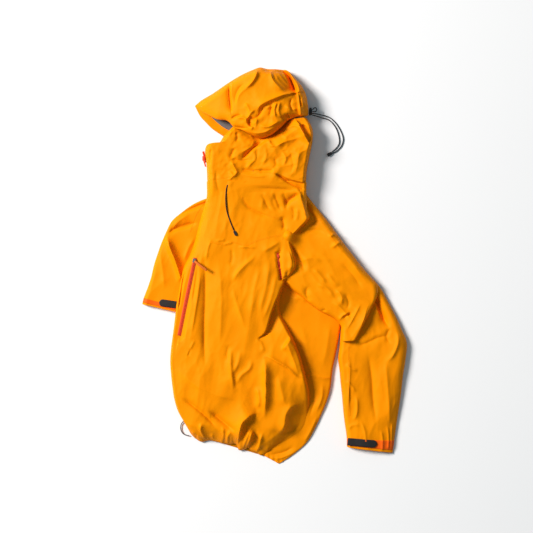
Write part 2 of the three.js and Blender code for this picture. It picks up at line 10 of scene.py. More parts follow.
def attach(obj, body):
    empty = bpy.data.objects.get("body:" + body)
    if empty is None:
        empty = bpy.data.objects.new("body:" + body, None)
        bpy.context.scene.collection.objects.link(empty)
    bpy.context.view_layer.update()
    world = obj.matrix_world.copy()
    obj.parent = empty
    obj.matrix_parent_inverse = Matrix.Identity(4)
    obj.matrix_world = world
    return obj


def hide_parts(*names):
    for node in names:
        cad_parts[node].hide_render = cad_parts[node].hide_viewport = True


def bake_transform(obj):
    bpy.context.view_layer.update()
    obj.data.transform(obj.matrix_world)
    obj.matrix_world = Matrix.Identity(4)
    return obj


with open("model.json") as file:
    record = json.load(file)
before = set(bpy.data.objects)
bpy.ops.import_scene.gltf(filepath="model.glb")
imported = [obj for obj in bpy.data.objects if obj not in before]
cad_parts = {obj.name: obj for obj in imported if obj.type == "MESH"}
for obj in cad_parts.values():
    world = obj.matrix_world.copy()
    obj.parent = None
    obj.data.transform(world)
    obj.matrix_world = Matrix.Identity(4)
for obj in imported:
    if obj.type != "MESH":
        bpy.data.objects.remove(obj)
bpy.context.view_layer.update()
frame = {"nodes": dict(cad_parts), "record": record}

MM = 0.001


# ---- Camera, light and floor ----
# The jacket lies flat on a pale floor and is looked at from straight above.
# One broad soft light stands low to the upper left, with weak even light all round.
CAMERA_HEIGHT = 3.5237
scene = bpy.context.scene
scene.view_settings.view_transform = "Standard"
camera_data = bpy.data.cameras.new("camera")
camera_data.lens, camera_data.sensor_width = 85, 36
camera_data.clip_start, camera_data.clip_end = 0.05, 50
camera = bpy.data.objects.new("camera", camera_data)
camera.location = (-0.023, -0.001, CAMERA_HEIGHT)
scene.collection.objects.link(camera)
scene.camera = camera


def soft_light(name, place, aim, size, power, tint=(1, 1, 1)):
    data = bpy.data.lights.new(name, "AREA")
    data.shape, data.size, data.energy, data.color = "DISK", size, power, tint
    lamp = bpy.data.objects.new(name, data)
    lamp.location = place
    lamp.rotation_euler = (Vector(aim) - Vector(place)).to_track_quat("-Z", "Y").to_euler()
    scene.collection.objects.link(lamp)
    return lamp


soft_light("key_light", (-5.4, 2.45, 5.1), (0, 0, 0), 2.7, 905, (1.012, 0.958, 0.925))
world = bpy.data.worlds.new("room")
world.use_nodes = True
world.node_tree.nodes["Background"].inputs[0].default_value = (0.91, 1.16, 1.28, 1)
world.node_tree.nodes["Background"].inputs[1].default_value = 0.20
scene.world = world

floor_mesh = bpy.data.meshes.new("floor")
floor_mesh.from_pydata([(-9, -9, 0), (9, -9, 0), (9, 9, 0), (-9, 9, 0)], [], [(0, 1, 2, 3)])
floor = bpy.data.objects.new("floor", floor_mesh)
floor.location.z = -0.0006
scene.collection.objects.link(floor)


# ---- Finishes: how every material is mixed ----
# Each finish is one surface whose colour, roughness and relief are worked out from its own pattern.
class Value:
    """One socket of a material, so that sums on it read as plain maths."""

    def __init__(self, finish, socket):
        self.finish, self.socket = finish, socket

    def sum(self, kind, *terms):
        return self.finish.node("Math", {"operation": kind}, *terms)

    def __add__(self, other):
        return self.sum("ADD", self, other)

    def __sub__(self, other):
        return self.sum("SUBTRACT", self, other)

    def __rsub__(self, other):
        return self.sum("SUBTRACT", other, self)

    def __mul__(self, other):
        return self.sum("MULTIPLY", self, other)

    def __pow__(self, other):
        return self.sum("POWER", self, other)

    __radd__ = __add__
    __rmul__ = __mul__


class Finish:
    """A material with one principled surface."""

    def __init__(self, name, **constants):
        self.material = bpy.data.materials.new(name)
        self.material.use_nodes = True
        self.nodes = self.material.node_tree.nodes
        self.surface = self.nodes["Principled BSDF"]
        for key, value in constants.items():
            self.surface.inputs[key.replace("_", " ")].default_value = value

    def node(self, kind, settings, *inputs, out=0):
        """Adds any node: its settings first, then values or links by place, or by name in a dict."""
        made = self.nodes.new("ShaderNode" + kind)
        for key, value in settings.items():
            if key == "stops":
                ramp = made.color_ramp.elements
                while len(ramp) < len(value):
                    ramp.new(0.5)
                for stop, (place, colour) in zip(ramp, value):
                    stop.position, stop.color = place, (*colour, 1)
            else:
                setattr(made, key, value)
        named = {}
        for place, value in enumerate(inputs):
            named.update(value if isinstance(value, dict) else {place: value})
        for key, value in named.items():
            if isinstance(value, Value):
                self.material.node_tree.links.new(value.socket, made.inputs[key])
            else:
                made.inputs[key].default_value = value
        return Value(self, made.outputs[out])

    def place(self):
        return self.node("TexCoord", {}, out=3)

    def noise(self, scale, detail=3, rough=0.5, vector=None):
        return self.node("TexNoise", {}, {"Vector": vector or self.place(), "Scale": scale,
                                          "Detail": detail, "Roughness": rough})

    def weave(self, pitch, axis):
        """Threads one pitch apart along X or Y, as a soft wave from 0 to 1."""
        split = self.node("SeparateXYZ", {}, self.place(), out="XYZ".index(axis))
        return self.sum_wave(split * (2 * math.pi / pitch))

    def sum_wave(self, phase):
        return self.node("Math", {"operation": "SINE"}, phase) * 0.5 + 0.5

    def tint(self, factor, low, high):
        """A colour between two, by a factor from 0 to 1."""
        return self.node("Mix", {"data_type": "RGBA"},
                         {0: factor, 6: low if isinstance(low, Value) else (*low, 1),
                          7: high if isinstance(high, Value) else (*high, 1)}, out=2)

    def relief(self, height, strength, distance):
        return self.node("Bump", {}, {"Height": height, "Strength": strength, "Distance": distance})

    def drive(self, **links):
        for key, value in links.items():
            self.material.node_tree.links.new(value.socket, self.surface.inputs[key.replace("_", " ")])
        return self.material


def floor_finish():
    f = Finish("studio_floor", Roughness=0.9, Specular_IOR_Level=0.1)
    return f.drive(Base_Color=f.tint(f.noise(1.2, 2), (0.90, 0.90, 0.905), (0.915, 0.915, 0.915)))


floor.data.materials.append(floor_finish())


# ---- Cords ----
# Round braided cords: two black strands from the lock at the back of the hood to one end
# fitting on the floor, one doubled cord out of the collar eyelet, and the grey hem cord's loop.
def cord_finish(name, dark, light):
    f = Finish(name, Roughness=0.75, Specular_IOR_Level=0.12, Sheen_Weight=0.04)
    strands = f.noise(900, 2) * 0.6 + f.weave(0.0016, "X") * f.weave(0.0016, "Y") * 0.7
    return f.drive(Base_Color=f.tint(strands, dark, light), Roughness=f.noise(400) * 0.3 + 0.55,
                   Normal=f.relief(strands, 0.7, 0.0004))


black_cord = cord_finish("black_cord", (0.005, 0.005, 0.006), (0.022, 0.021, 0.021))
grey_cord = cord_finish("grey_cord", (0.07, 0.07, 0.075), (0.20, 0.20, 0.21))


def smooth_line(points, count):
    """Points one even step apart on a smooth curve through the given ones."""
    p = np.array(points, float)
    p = np.vstack([2 * p[0] - p[1], p, 2 * p[-1] - p[-2]])
    dense = []
    for a, b, c, d in zip(p, p[1:], p[2:], p[3:]):
        for t in np.linspace(0, 1, 12, endpoint=False):
            dense.append(0.5 * (2 * b + (c - a) * t + (2 * a - 5 * b + 4 * c - d) * t ** 2
                                + (3 * b - a - 3 * c + d) * t ** 3))
    dense = np.array([*dense, p[-2]])
    steps = np.r_[0, np.cumsum(np.linalg.norm(np.diff(dense, axis=0), axis=1))]
    at = np.linspace(0, steps[-1], count)
    return np.column_stack([np.interp(at, steps, dense[:, k]) for k in range(dense.shape[1])])


def lay_cord(name, points, diameter, material, body, *nodes, bend=None):
    """A cord along points in mm. One that crosses a fold is turned into a plain mesh tube and left on no body."""
    line = smooth_line(np.array(points) * MM, 34)
    curve = bpy.data.curves.new(name, "CURVE")
    curve.dimensions, curve.bevel_depth, curve.bevel_resolution = "3D", diameter / 2, 3
    curve.use_fill_caps = True
    spline = curve.splines.new("POLY")
    spline.points.add(len(line) - 1)
    for point, place in zip(spline.points, line):
        point.co = (*place, 1)
    made = bpy.data.objects.new(name, curve)
    curve.materials.append(material)
    scene.collection.objects.link(made)
    if bend:
        bpy.context.view_layer.update()
        tube = bpy.data.meshes.new_from_object(made.evaluated_get(bpy.context.evaluated_depsgraph_get()))
        bpy.data.objects.remove(made)
        made = bpy.data.objects.new(name, tube)
        scene.collection.objects.link(made)
        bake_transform(made)
    else:
        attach(made, body)
    if nodes:
        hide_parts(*nodes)
    length = float(np.linalg.norm(np.diff(line, axis=0), axis=1).sum())
    return made, line, length


HOOD_CORD_D, COLLAR_CORD_D, HEM_CORD_D = 0.0028, 0.0032, 0.003
CORD_BEND = ("torso", "hood", (0.168, 0.405, 0.0), (0.110, 0.423, 0.015))
strand_a, line_a, length_a = lay_cord(
    "rear_cord_long", [(104.8, 426, 17), (127, 423, 9), (155, 415, 2), (177, 392, 2), (191, 361, 2),
                       (188, 339, 2), (175, 323, 2), (161.6, 315.2, 2)],
    HOOD_CORD_D, black_cord, None, "hood_cord_strand_a", bend=CORD_BEND)
strand_b, line_b, length_b = lay_cord(
    "rear_cord_short", [(104.8, 421.6, 15), (127, 416, 7), (153, 408, 2), (171, 387, 2), (180, 361, 2),
                        (180, 342, 2), (170, 328, 2), (159.2, 318.9, 2)],
    HOOD_CORD_D, black_cord, None, "hood_cord_strand_b", bend=CORD_BEND)
bight, bight_line, bight_length = lay_cord(
    "rear_cord_loop", [(105, 435, 22), (112, 441, 22), (117, 436, 22), (113, 430, 22), (105, 430.5, 22)],
    HOOD_CORD_D, black_cord, "hood", "hood_cord_bight")
collar_cord, collar_line, collar_length = lay_cord(
    "collar_cord_run", [(-130.5, 224, 58.2), (-134, 207, 57.6), (-135, 179, 56), (-132, 151, 53.6),
                        (-122, 121, 52.4), (-113, 99, 52)],
    COLLAR_CORD_D, black_cord, "torso", "collar_cord")
hem_loop, hem_line, hem_length = lay_cord(
    "hem_cord_loop_run", [(-254.6, -432.4, 4), (-262, -444, 3.6), (-262, -459, 3.6), (-254, -470, 3.6),
                          (-239.2, -474.6, 4)],
    HEM_CORD_D, grey_cord, "torso", "hem_cord_loop")


# ---- Shell cloth ----
# A coated plain weave in golden orange. Every panel is cut to its outline, rolled down at its
# edges, pushed up along its folds and thickened to the weight of real shell cloth.
CLOTH_THICK = 0.0008


def shell_finish(name, low, high, rough=0.5):
    f = Finish(name, Specular_IOR_Level=0.04)
    threads = f.weave(0.0011, "X") * f.weave(0.0011, "Y")
    grid = f.noise(260, 2)
    wear = f.noise(14, 4, 0.6)
    height = threads * 0.5 + grid * 0.5 + f.noise(55, 4, 0.6) * 2.2
    return f.drive(Base_Color=f.tint(wear * 0.75 + threads * 0.12 + f.noise(300) * 0.14, low, high),
                   Roughness=f.noise(30, 3) * 0.16 + (rough - 0.06),
                   Normal=f.relief(height, 0.28, 0.0009))


shell_cloth = shell_finish("shell_cloth", (0.83, 0.232, 0.0), (0.97, 0.305, 0.0))


def reach(x, y, path):
    """Distance from a line, above nought on its left, and how far along it, 0 to 1."""
    path = smooth_line(np.array(path, float), max(len(path) * 4, 8)) if len(path) > 2 else np.array(path, float)
    steps = np.linalg.norm(np.diff(path, axis=0), axis=1)
    whole, start = steps.sum(), 0
    near, share = np.full(x.shape, 1e9), np.zeros(x.shape)
    for (ax, ay), (bx, by), step in zip(path, path[1:], steps):
        ux, uy = (bx - ax) / step, (by - ay) / step
        along = np.clip((x - ax) * ux + (y - ay) * uy, 0, step)
        gap = np.hypot(x - ax - along * ux, y - ay - along * uy)
        side = np.where(ux * (y - ay) - uy * (x - ax) >= 0, 1, -1)
        closer = gap < np.abs(near)
        near = np.where(closer, gap * side, near)
        share = np.where(closer, (start + along) / whole, share)
        start += step
    return near, share


def folds(x, y, lines):
    """Height of all folds at each point, in mm: (line, rise, width on its left, width on its right, open ends)."""
    z = np.zeros(x.shape)
    for line, rise, left, right, *ends in lines:
        ends = ends[0] if ends else ""
        gap, share = reach(x, y, line)
        width = np.where(gap >= 0, left, right)
        soft = 0.8
        crest = np.exp(-(np.sqrt(gap ** 2 + soft ** 2) - soft) / width)
        fade = np.ones(x.shape)
        if "a" not in ends:
            fade = fade * np.clip(share / 0.3, 0, 1)
        if "b" not in ends:
            fade = fade * np.clip((1 - share) / 0.3, 0, 1)
        z += rise * crest * fade * fade * (3 - 2 * fade)
    return z


def crumple(x, y, size, rise, seed, stretch=1.0, turn=0.0):
    """Seeded crush marks: soft hollows about size mm across with sharp creases between them."""
    c, s = math.cos(turn), math.sin(turn)
    flat = []
    for px, py in zip(x.ravel(), y.ravel()):
        u, v = (px * c + py * s) / size / stretch, (py * c - px * s) / size
        bend = noise.noise_vector(Vector((u * 0.8, v * 0.8, seed + 4)))
        near = noise.voronoi(Vector((u + 0.55 * bend.x, v + 0.55 * bend.y, seed)))[0]
        flat.append(math.hypot(near[0], 0.22) * (0.55 + 0.9 * noise.noise(Vector((u * 0.5, v * 0.5, seed + 9)))))
    field = np.array(flat).reshape(x.shape)
    return (field - field.mean()) * rise * 2.2


def station_grid(guides, rows, columns):
    """Rows of points across guide lines that share their stations, bunched towards the outer two lines."""
    lines = []
    for guide in guides:
        p = np.array(guide, float)
        p = np.vstack([2 * p[0] - p[1], p, 2 * p[-1] - p[-2]])
        out = []
        for at in np.linspace(0, len(guide) - 1 - 1e-9, rows):
            i, t = int(at), at - int(at)
            a, b, c, d = p[i:i + 4]
            out.append(0.5 * (2 * b + (c - a) * t + (2 * a - 5 * b + 4 * c - d) * t ** 2
                              + (3 * b - a - 3 * c + d) * t ** 3))
        lines.append(np.array(out))
    pieces = []
    for k, count in enumerate(columns):
        q = np.linspace(0, 1, count + 1)
        bunch = q.copy()
        if k == 0:
            bunch = q ** 1.5
        if k == len(columns) - 1:
            bunch = 1 - (1 - (bunch if k else q)) ** 1.5
        if len(columns) == 1:
            bunch = (0.5 - 0.5 * np.cos(math.pi * q)) * 0.6 + q * 0.4
        a, b = lines[k][:, None, :], lines[k + 1][:, None, :]
        piece = a + (b - a) * bunch[None, :, None]
        pieces.append(piece if k == 0 else piece[:, 1:])
    return np.concatenate(pieces, axis=1)


def seat(x, y, z, line, half, ease_right, ease_left):
    """Brings cloth down to just under a zip that is let into it: line holds the zip's points in mm."""
    line = np.array(line, float)
    gap, share = reach(x, y, line[:, :2])
    steps = np.r_[0, np.cumsum(np.hypot(*np.diff(line[:, :2], axis=0).T))]
    level = np.interp(share, steps / steps[-1], line[:, 2]) - 0.7
    hold = np.clip(1 - (np.abs(gap) - half) / np.where(gap > 0, ease_left, ease_right), 0, 1)
    hold = hold * hold * (3 - 2 * hold)
    return z * (1 - hold) + np.minimum(z, level + 0.06 * np.maximum(0, np.abs(gap) - half)) * hold


def hollows(x, y, pits):
    """Depth of sunk places: each a closed outline, a depth and a soft edge, in mm."""
    z = np.zeros(x.shape)
    for outline, depth, soft in pits:
        gap, _ = reach(x, y, [*outline, outline[0]])
        inside = np.zeros(x.shape, bool)
        for (ax, ay), (bx, by) in zip(outline, [*outline[1:], outline[0]]):
            inside ^= ((ay > y) != (by > y)) & (x < (bx - ax) * (y - ay) / (by - ay + 1e-9) + ax)
        q = np.clip(np.abs(gap) / soft, 0, 1) * inside
        z -= depth * q * q * (3 - 2 * q)
    return z


def roll(gap, width):
    q = np.clip(gap / width, 0, 1)
    return np.sqrt(1 - (1 - q) ** 2)


def blank(name, verts, faces, material, smooth=True):
    """A mesh piece in the row frame, its points given in mm."""
    mesh = bpy.data.meshes.new(name)
    mesh.from_pydata((np.asarray(verts, float).reshape(-1, 3) * MM).tolist(), [], faces)
    mesh.validate()
    mesh.materials.append(material)
    mesh.polygons.foreach_set("use_smooth", [smooth] * len(mesh.polygons))
    made = bpy.data.objects.new(name, mesh)
    scene.collection.objects.link(made)
    return made


def finish_mesh(piece):
    """Fixes a piece's modifiers into its mesh."""
    bpy.context.view_layer.update()
    made = bpy.data.meshes.new_from_object(piece.evaluated_get(bpy.context.evaluated_depsgraph_get()))
    piece.modifiers.clear()
    piece.data = made
    return piece


def thicken(piece, thick=CLOTH_THICK, offset=-1):
    solid = piece.modifiers.new("thickness", "SOLIDIFY")
    solid.thickness, solid.offset = thick, offset
    return finish_mesh(piece)


def grid_faces(rows, columns, close=False):
    span = columns if close else columns - 1
    return [(r * columns + c, r * columns + (c + 1) % columns, (r + 1) * columns + (c + 1) % columns,
             (r + 1) * columns + c) for r in range(rows - 1) for c in range(span)]


def wear_on(piece, body, slot, *nodes):
    if body:
        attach(piece, body)
    if nodes:
        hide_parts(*nodes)
    return piece


def gaps_to_edges(plan):
    """How far each point is from its row's two ends, in mm."""
    steps = np.linalg.norm(np.diff(plan, axis=1), axis=2)
    left = np.concatenate([np.zeros((len(plan), 1)), np.cumsum(steps, axis=1)], axis=1)
    return left, left[:, -1:] - left


def by_station(values, rows):
    at = np.linspace(0, len(values) - 1, rows)
    return np.interp(at, range(len(values)), values)[:, None]


# ---- Front of the body ----
# The left front with its shoulder yoke is one long face from collar to hem. It lies puffed up
# on the layers below; its right edge folds over the side, and the hem is drawn up by its cord.
FRONT_EDGE = [(-190, 235), (-190, 193), (-201, 154), (-212, 115), (-223, 70), (-237, 31), (-254, -3),
    (-262, -36), (-268, -70), (-274, -103), (-278, -137), (-282, -171), (-286, -201), (-290, -232),
        (-292, -266), (-290, -299), (-286, -336), (-281, -369), (-271, -403), (-254, -434), (-234, -470)]
FRONT_FOLD = [(82, 235), (74, 205), (79, 160), (86, 132), (54, 104), (26, 73), (40, 34), (48, -3),
    (23, -42), (15, -67), (1, -98), (-13, -137), (-27, -182), (-47, -201), (-41, -229), (-30, -263),
        (-20, -302), (-16, -347), (-13, -395), (-30, -442), (-66, -507)]
FRONT_SIDE = [(88, 230), (88, 205), (90, 160), (96, 132), (71, 104), (46, 73), (54, 34), (59, -3),
    (34, -42), (23, -73), (15, -109), (20, -137), (37, -171), (54, -207), (71, -249), (83, -291),
        (93, -333), (97, -375), (88, -417), (68, -462), (-13, -516)]
HEM_LINE = [(-234, -470), (-220, -483), (-204, -491), (-184, -487), (-164, -491), (-145, -495),
    (-125, -497), (-108, -498), (-100, -514), (-83, -512), (-75, -507), (-66, -515), (-50, -522),
        (-36, -529), (-13, -516)]
CHEST_ZIP = [(-220, 23, 45.5), (-243, -85, 43.3), (-265, -192, 41)]
PIT_ZIP = [(7, 36, 41.4), (12, 0, 41.4), (17, -36, 41.4)]
front_folds = [
    # side valley beside the chest zip and long soft waves down the body
    ([(-195, 45), (-192, -67), (-195, -179), (-192, -297)], -4.5, 13, 9),
    ([(-212, 11), (-220, -53), (-229, -109)], -2.2, 3, 3), ([(-204, -5), (-212, -73), (-223, -145),
        (-234, -207)], 1.8, 3, 5),
    ([(-220, -5), (-229, -61), (-237, -109)], 1.5, 3, 3),
    ([(-153, 11), (-148, -95), (-153, -235)], 3, 16, 20),
    ([(-50, 31), (-80, 6), (-106, -22), (-117, -50)], 3.2, 9, 5), ([(-117, -50), (-111, -84),
        (-97, -129), (-80, -179)], 2.0, 12, 7),
    ([(-120, 53), (-117, 23), (-125, -5)], -1.8, 4, 4), ([(-173, 79), (-184, 51), (-192, 11)], 1.6, 4, 6),
    ([(-229, 73), (-234, 39), (-246, 9)], -1.6, 4, 4), ([(-36, 11), (-58, -67), (-69, -145)], 2.2, 12, 9),
    ([(-13, 31), (-24, -53), (-47, -140)], 2.4, 10, 8), ([(6, -11), (-10, -84), (-36, -157)], 2.5, 9, 6),
    ([(-120, -224), (-122, -269), (-117, -313), (-114, -353)], 3.5, 4, 11), ([(-94, -229),
        (-103, -269), (-117, -302)], 2.2, 6, 4),
    ([(-66, -252), (-69, -280), (-94, -302), (-108, -330)], 3, 7, 5), ([(-125, -213), (-131, -241),
        (-125, -269)], -1.5, 4, 4),
    ([(-220, -201), (-237, -235), (-248, -252)], 1.2, 3, 4), ([(-232, -224), (-240, -252)], -1.2, 3, 3),
    ([(-271, -280), (-223, -325), (-153, -358), (-97, -369)], 2.5, 16, 12), ([(-246, -5), (-255, -39),
        (-260, -73), (-264, -103), (-267, -131)], -6, 2, 2),
    ([(-262, -372), (-254, -367), (-209, -400), (-176, -431), (-153, -456)], -4, 7, 4),
        ([(-187, -411), (-176, -406), (-148, -428), (-122, -448), (-100, -459)], -5.5, 7, 6),
    # hem pleats under the drawcord
    ([(-44, -403), (-69, -414), (-89, -431), (-97, -459), (-106, -507)], 12, 4, 26, "b"),
        ([(-47, -397), (-44, -364), (-50, -330)], 3.5, 4, 7),
    ([(-61, -451), (-69, -481), (-78, -509)], 9, 3.5, 7, "b"), ([(-36, -462), (-41, -487),
        (-50, -521)], 5, 4, 3, "b"),
    ([(-66, -445), (-78, -476), (-89, -509)], 4, 4, 4, "b"),
    ([(-246, -451), (-220, -465), (-198, -476), (-164, -476)], 2.2, 3, 3), ([(-201, -431),
        (-206, -453), (-195, -479)], 3.2, 5, 3, "b"),
    ([(-145, -442), (-142, -470), (-148, -493)], 3, 4, 4, "b"), ([(-122, -453), (-131, -476),
        (-128, -495)], 3.6, 4, 3, "b"),
    ([(-232, -459), (-226, -476)], 2.2, 3, 3, "b"), ([(-176, -465), (-170, -490)], 2.5, 3, 3, "b"),
        ([(-212, -470), (-215, -487)], 2, 3, 3, "b"),
    ([(-52, -512), (-36, -501), (-19, -512)], 3, 5, 3, "ab"),
    # right lower face: long ridge, the valley beside it and the corner creases
    ([(-29, -241), (-26, -305), (-26, -361), (-29, -425)], 8.5, 10, 7), ([(-36, -255), (-19, -250),
        (6, -263), (34, -280), (62, -305), (76, -308)], 3.6, 5, 1.8),
    ([(9, -297), (18, -347), (31, -389)], 3, 12, 14), ([(79, -383), (48, -389), (31, -409),
        (26, -442), (18, -476)], 4, 5, 14),
    ([(18, -235), (34, -213), (51, -190)], 5, 3, 12), ([(31, -201), (48, -252), (68, -302)], 4, 16, 9),
    ([(-50, -199), (-36, -218), (-33, -241)], 2, 4, 4), ([(-19, -453), (29, -465), (76, -442)], -3, 6, 12),
    # yoke seam puckers and the shoulder
    ([(-145, 59), (-114, 65)], 1.4, 2.5, 2), ([(-103, 52), (-75, 53), (-50, 49)], 1.6, 2.5, 2),
        ([(-164, 70), (-136, 73)], 1.0, 2.5, 2),
    ([(-36, 39), (-13, 51), (18, 70)], 2.2, 9, 4), ([(18, 140), (26, 118), (23, 95)], -4, 4, 7),
    ([(48, 168), (54, 146), (51, 123)], -2, 2.5, 2.5), ([(62, 163), (62, 143), (57, 123)], 1.8, 2.5, 3),
    ([(71, 205), (57, 193), (40, 182), (29, 165)], -6, 6, 6), ([(68, 202), (79, 165),
        (88, 132)], 5, 2, 10, "ab"),
    ([(-8, 196), (-2, 168), (15, 146)], -1.6, 6, 6), ([(-19, 213), (-36, 171), (-30, 146)], 1.6, 8, 10),
    ([(-69, 221), (-36, 216), (15, 213), (59, 207)], -4, 9, 5), ([(23, 235), (46, 224), (65, 217),
        (82, 213)], -4, 9, 2.5, "ab"), ([(-92, 193), (-80, 171), (-58, 154), (-27, 140),
            (-5, 135)], -2.4, 2.5, 4),
    ([(-5, 205), (9, 177), (18, 149)], -3, 4, 4), ([(23, 205), (31, 177), (31, 151)], -2.6, 4, 3),
        ([(-36, 202), (-24, 174), (-10, 151)], -2.4, 5, 4),
    # flap over the pit zip
    ([(20, 62), (12, 28), (15, -5), (20, -36)], -5, 3, 2.4, "b"), ([(37, 45), (46, 11),
        (40, -22)], 3, 3, 5),
    # where the right sleeve's fold starts
    ([(-192, 177), (-201, 146), (-209, 112)], -1.6, 5, 5), ([(-190, 174), (-215, 165),
        (-248, 151)], -2.5, 4, 4, "a"),
]
ROWS, COLUMNS = 300, (104, 40)
plan = station_grid([FRONT_EDGE, FRONT_FOLD, FRONT_SIDE], ROWS, COLUMNS)
hem = smooth_line(HEM_LINE, 400)
share = np.r_[0, np.cumsum(np.hypot(*np.diff(plan[-1], axis=0).T))]
hem = hem[np.round(share / share[-1] * 399).astype(int)]
pull = np.clip((np.linspace(0, 1, ROWS) - 0.86) / 0.14, 0, 1)[:, None, None] ** 2
plan = plan + (hem - plan[-1])[None] * pull
x, y = plan[..., 0], plan[..., 1]
from_left, from_right = gaps_to_edges(plan)
top = by_station([56, 54, 50, 50, 50, 50, 50, 50, 50, 50, 50, 50, 50, 50, 50, 50, 48, 46, 43, 40, 30], ROWS)
left_foot = by_station([3, 10, 12, 12, 12, 12, 12, 10, 4] + [1.2] * 12, ROWS)
over_edge, _ = reach(x, y, FRONT_FOLD[8:15])
under = np.clip(over_edge / 3.0, 0, 1)
shelf = by_station([0] * 8 + [16, 26, 27, 24, 16, 4, 0, 0, 0, 0, 0, 0, 0], ROWS)
right_foot = by_station([40, 30, 26, 24, 24, 24, 26, 28, 16, 14, 14, 12, 11, 10, 9, 8, 8, 10, 11, 9, 4], ROWS)
steep = by_station([0.8, 0.6, 0.3, 0.2, 0.2, 0.25, 0.4, 0.6, 0.75] + [0.8] * 12, ROWS)
left_rise = steep * roll(from_left, 9) + (1 - steep) * roll(from_left, 64)
right_rise = roll(from_right, by_station([10, 9, 9, 9, 9, 9, 9, 9, 12, 14, 15, 14, 12, 11, 11, 12, 14, 18, 40, 60, 60], ROWS))
slant = by_station([0] * 17 + [0.4, 1, 1, 1], ROWS)
rise = np.minimum(left_rise, right_rise * (1 - slant) + np.clip(from_right / 54, 0, 1) * slant)
foot = left_foot + (right_foot - left_foot) * (from_left / (from_left + from_right))
z = foot + (top - foot) * rise
z = z - shelf * under * np.exp(-np.clip(over_edge - 3, 0, 200) / 90)
calm = np.minimum(1, np.minimum(from_left, from_right) / 14)
z = z + 2.3 * folds(x, y, front_folds) * (0.25 + 0.75 * calm)
z = z + (crumple(x, y, 46, 4.6, 3.1, 2.8, 1.35) + crumple(x, y, 20, 1.3, 9.4, 2.2, 1.3)) * calm
drawn = np.clip((np.linspace(0, 1, ROWS) - 0.95) / 0.05, 0, 1)[:, None]
z = z * (1 - 0.9 * drawn ** 2.2) + (2.5 + 2.6 * np.sin(x / 7.1 + 2.6 * np.sin(x / 19)) ** 2) * drawn ** 2.2
z = seat(x, y, z, CHEST_ZIP, 5.5, 45, 13)
z = seat(x, y, z, PIT_ZIP, 2.4, 2.5, 2.5)
z = np.maximum(z, 0.9)
front = blank("front_of_body", np.dstack([x, y, z]), grid_faces(ROWS, plan.shape[1]), shell_cloth)
thicken(front, offset=1 if front.data.polygons[0].normal.z < 0 else -1)
wear_on(front, "torso", "shell_cloth", "front_panel_left", "front_panel_right", "shoulder_yoke_left",
        "shoulder_yoke_right", "storm_flap", "hem_facing", "chest_pocket_bag")


# ---- Back and side of the body ----
# The back lies low between the front's folded edge and the sleeve, in the front's shadow.
BACK_INNER = [(-36, 11), (-52, -53), (-69, -109), (-69, -165), (-64, -221), (-52, -277), (-47, -333),
    (-41, -389), (-41, -445), (-47, -481), (-52, -504), (-47, -521)]
BACK_OUTER = [(132, -56), (177, -95), (186, -145), (181, -193), (172, -241), (162, -291), (156, -341),
    (144, -383), (117, -445), (90, -493), (48, -530), (12, -553)]
back_folds = [
    ([(90, -302), (115, -306), (138, -313), (158, -311)], 2.2, 3, 3, "ab"), ([(132, -325),
        (132, -364), (115, -409)], 3.5, 5, 8),
    ([(107, -333), (110, -375), (96, -425)], -3, 6, 6), ([(71, -151), (88, -221), (104, -291)], 2, 12, 12),
    ([(155, -151), (146, -221), (132, -285)], 2, 8, 12), ([(121, -414), (102, -459),
        (79, -498)], 3.2, 4, 6),
    ([(71, -512), (31, -532), (-8, -543)], 2.5, 4, 5), ([(57, -504), (23, -521),
        (-19, -529)], -3, 5, 5), ([(-36, -532), (-8, -537), (23, -535)], 2, 3, 3),
    ([(48, -95), (71, -87), (93, -101)], 3, 5, 5),
]
ROWS, COLUMNS = 150, (70,)
plan = station_grid([BACK_INNER, BACK_OUTER], ROWS, COLUMNS)
x, y = plan[..., 0], plan[..., 1]
from_left, from_right = gaps_to_edges(plan)
top = by_station([14, 14, 15, 16, 16, 15, 14, 12, 9, 7, 5.5, 4.5], ROWS)
z = 1.4 + (top - 1.4) * (0.55 * roll(from_right, 6) + 0.45 * roll(from_right, 40))
calm = np.minimum(1, from_right / 12)
z = z + (1.3 * folds(x, y, back_folds) + crumple(x, y, 50, 1.6, 5.5, 2.4, 1.4) + crumple(x, y, 20, 0.4, 2.5)) * calm
tail = np.clip((np.linspace(0, 1, ROWS) - 0.9) / 0.1, 0, 1)[:, None]
z = np.maximum(z * (1 - 0.75 * tail ** 2) + (1.2 + 2.2 * np.sin(x / 4.4) ** 2) * tail ** 2, 0.9)
back = blank("back_of_body", np.dstack([x, y, z]), grid_faces(ROWS, plan.shape[1]), shell_cloth)
thicken(back, offset=1 if back.data.polygons[0].normal.z < 0 else -1)
wear_on(back, "torso", "shell_cloth", "side_panel_left", "back_panel")


UNDER_EDGE = FRONT_EDGE[1:]
under_right = [(71, 196), (68, 165), (59, 132), (43, 101), (29, 70), (26, 34), (31, -3), (26, -42),
    (43, -73), (71, -109), (155, -145), (177, -179), (172, -210), (166, -243), (158, -280),
        (155, -319), (149, -361), (132, -403), (104, -445), (20, -546)]
plan = station_grid([UNDER_EDGE, under_right], 90, (40,))
x, y = plan[..., 0], plan[..., 1]
lie = 0.9 + 0.25 * np.sin(x / 19) * np.sin(y / 23)
under = blank("underside_of_body", np.dstack([x, y, lie]), grid_faces(90, 41), shell_cloth)
thicken(under, 0.5 * MM, 0)
wear_on(under, "torso", "shell_cloth")


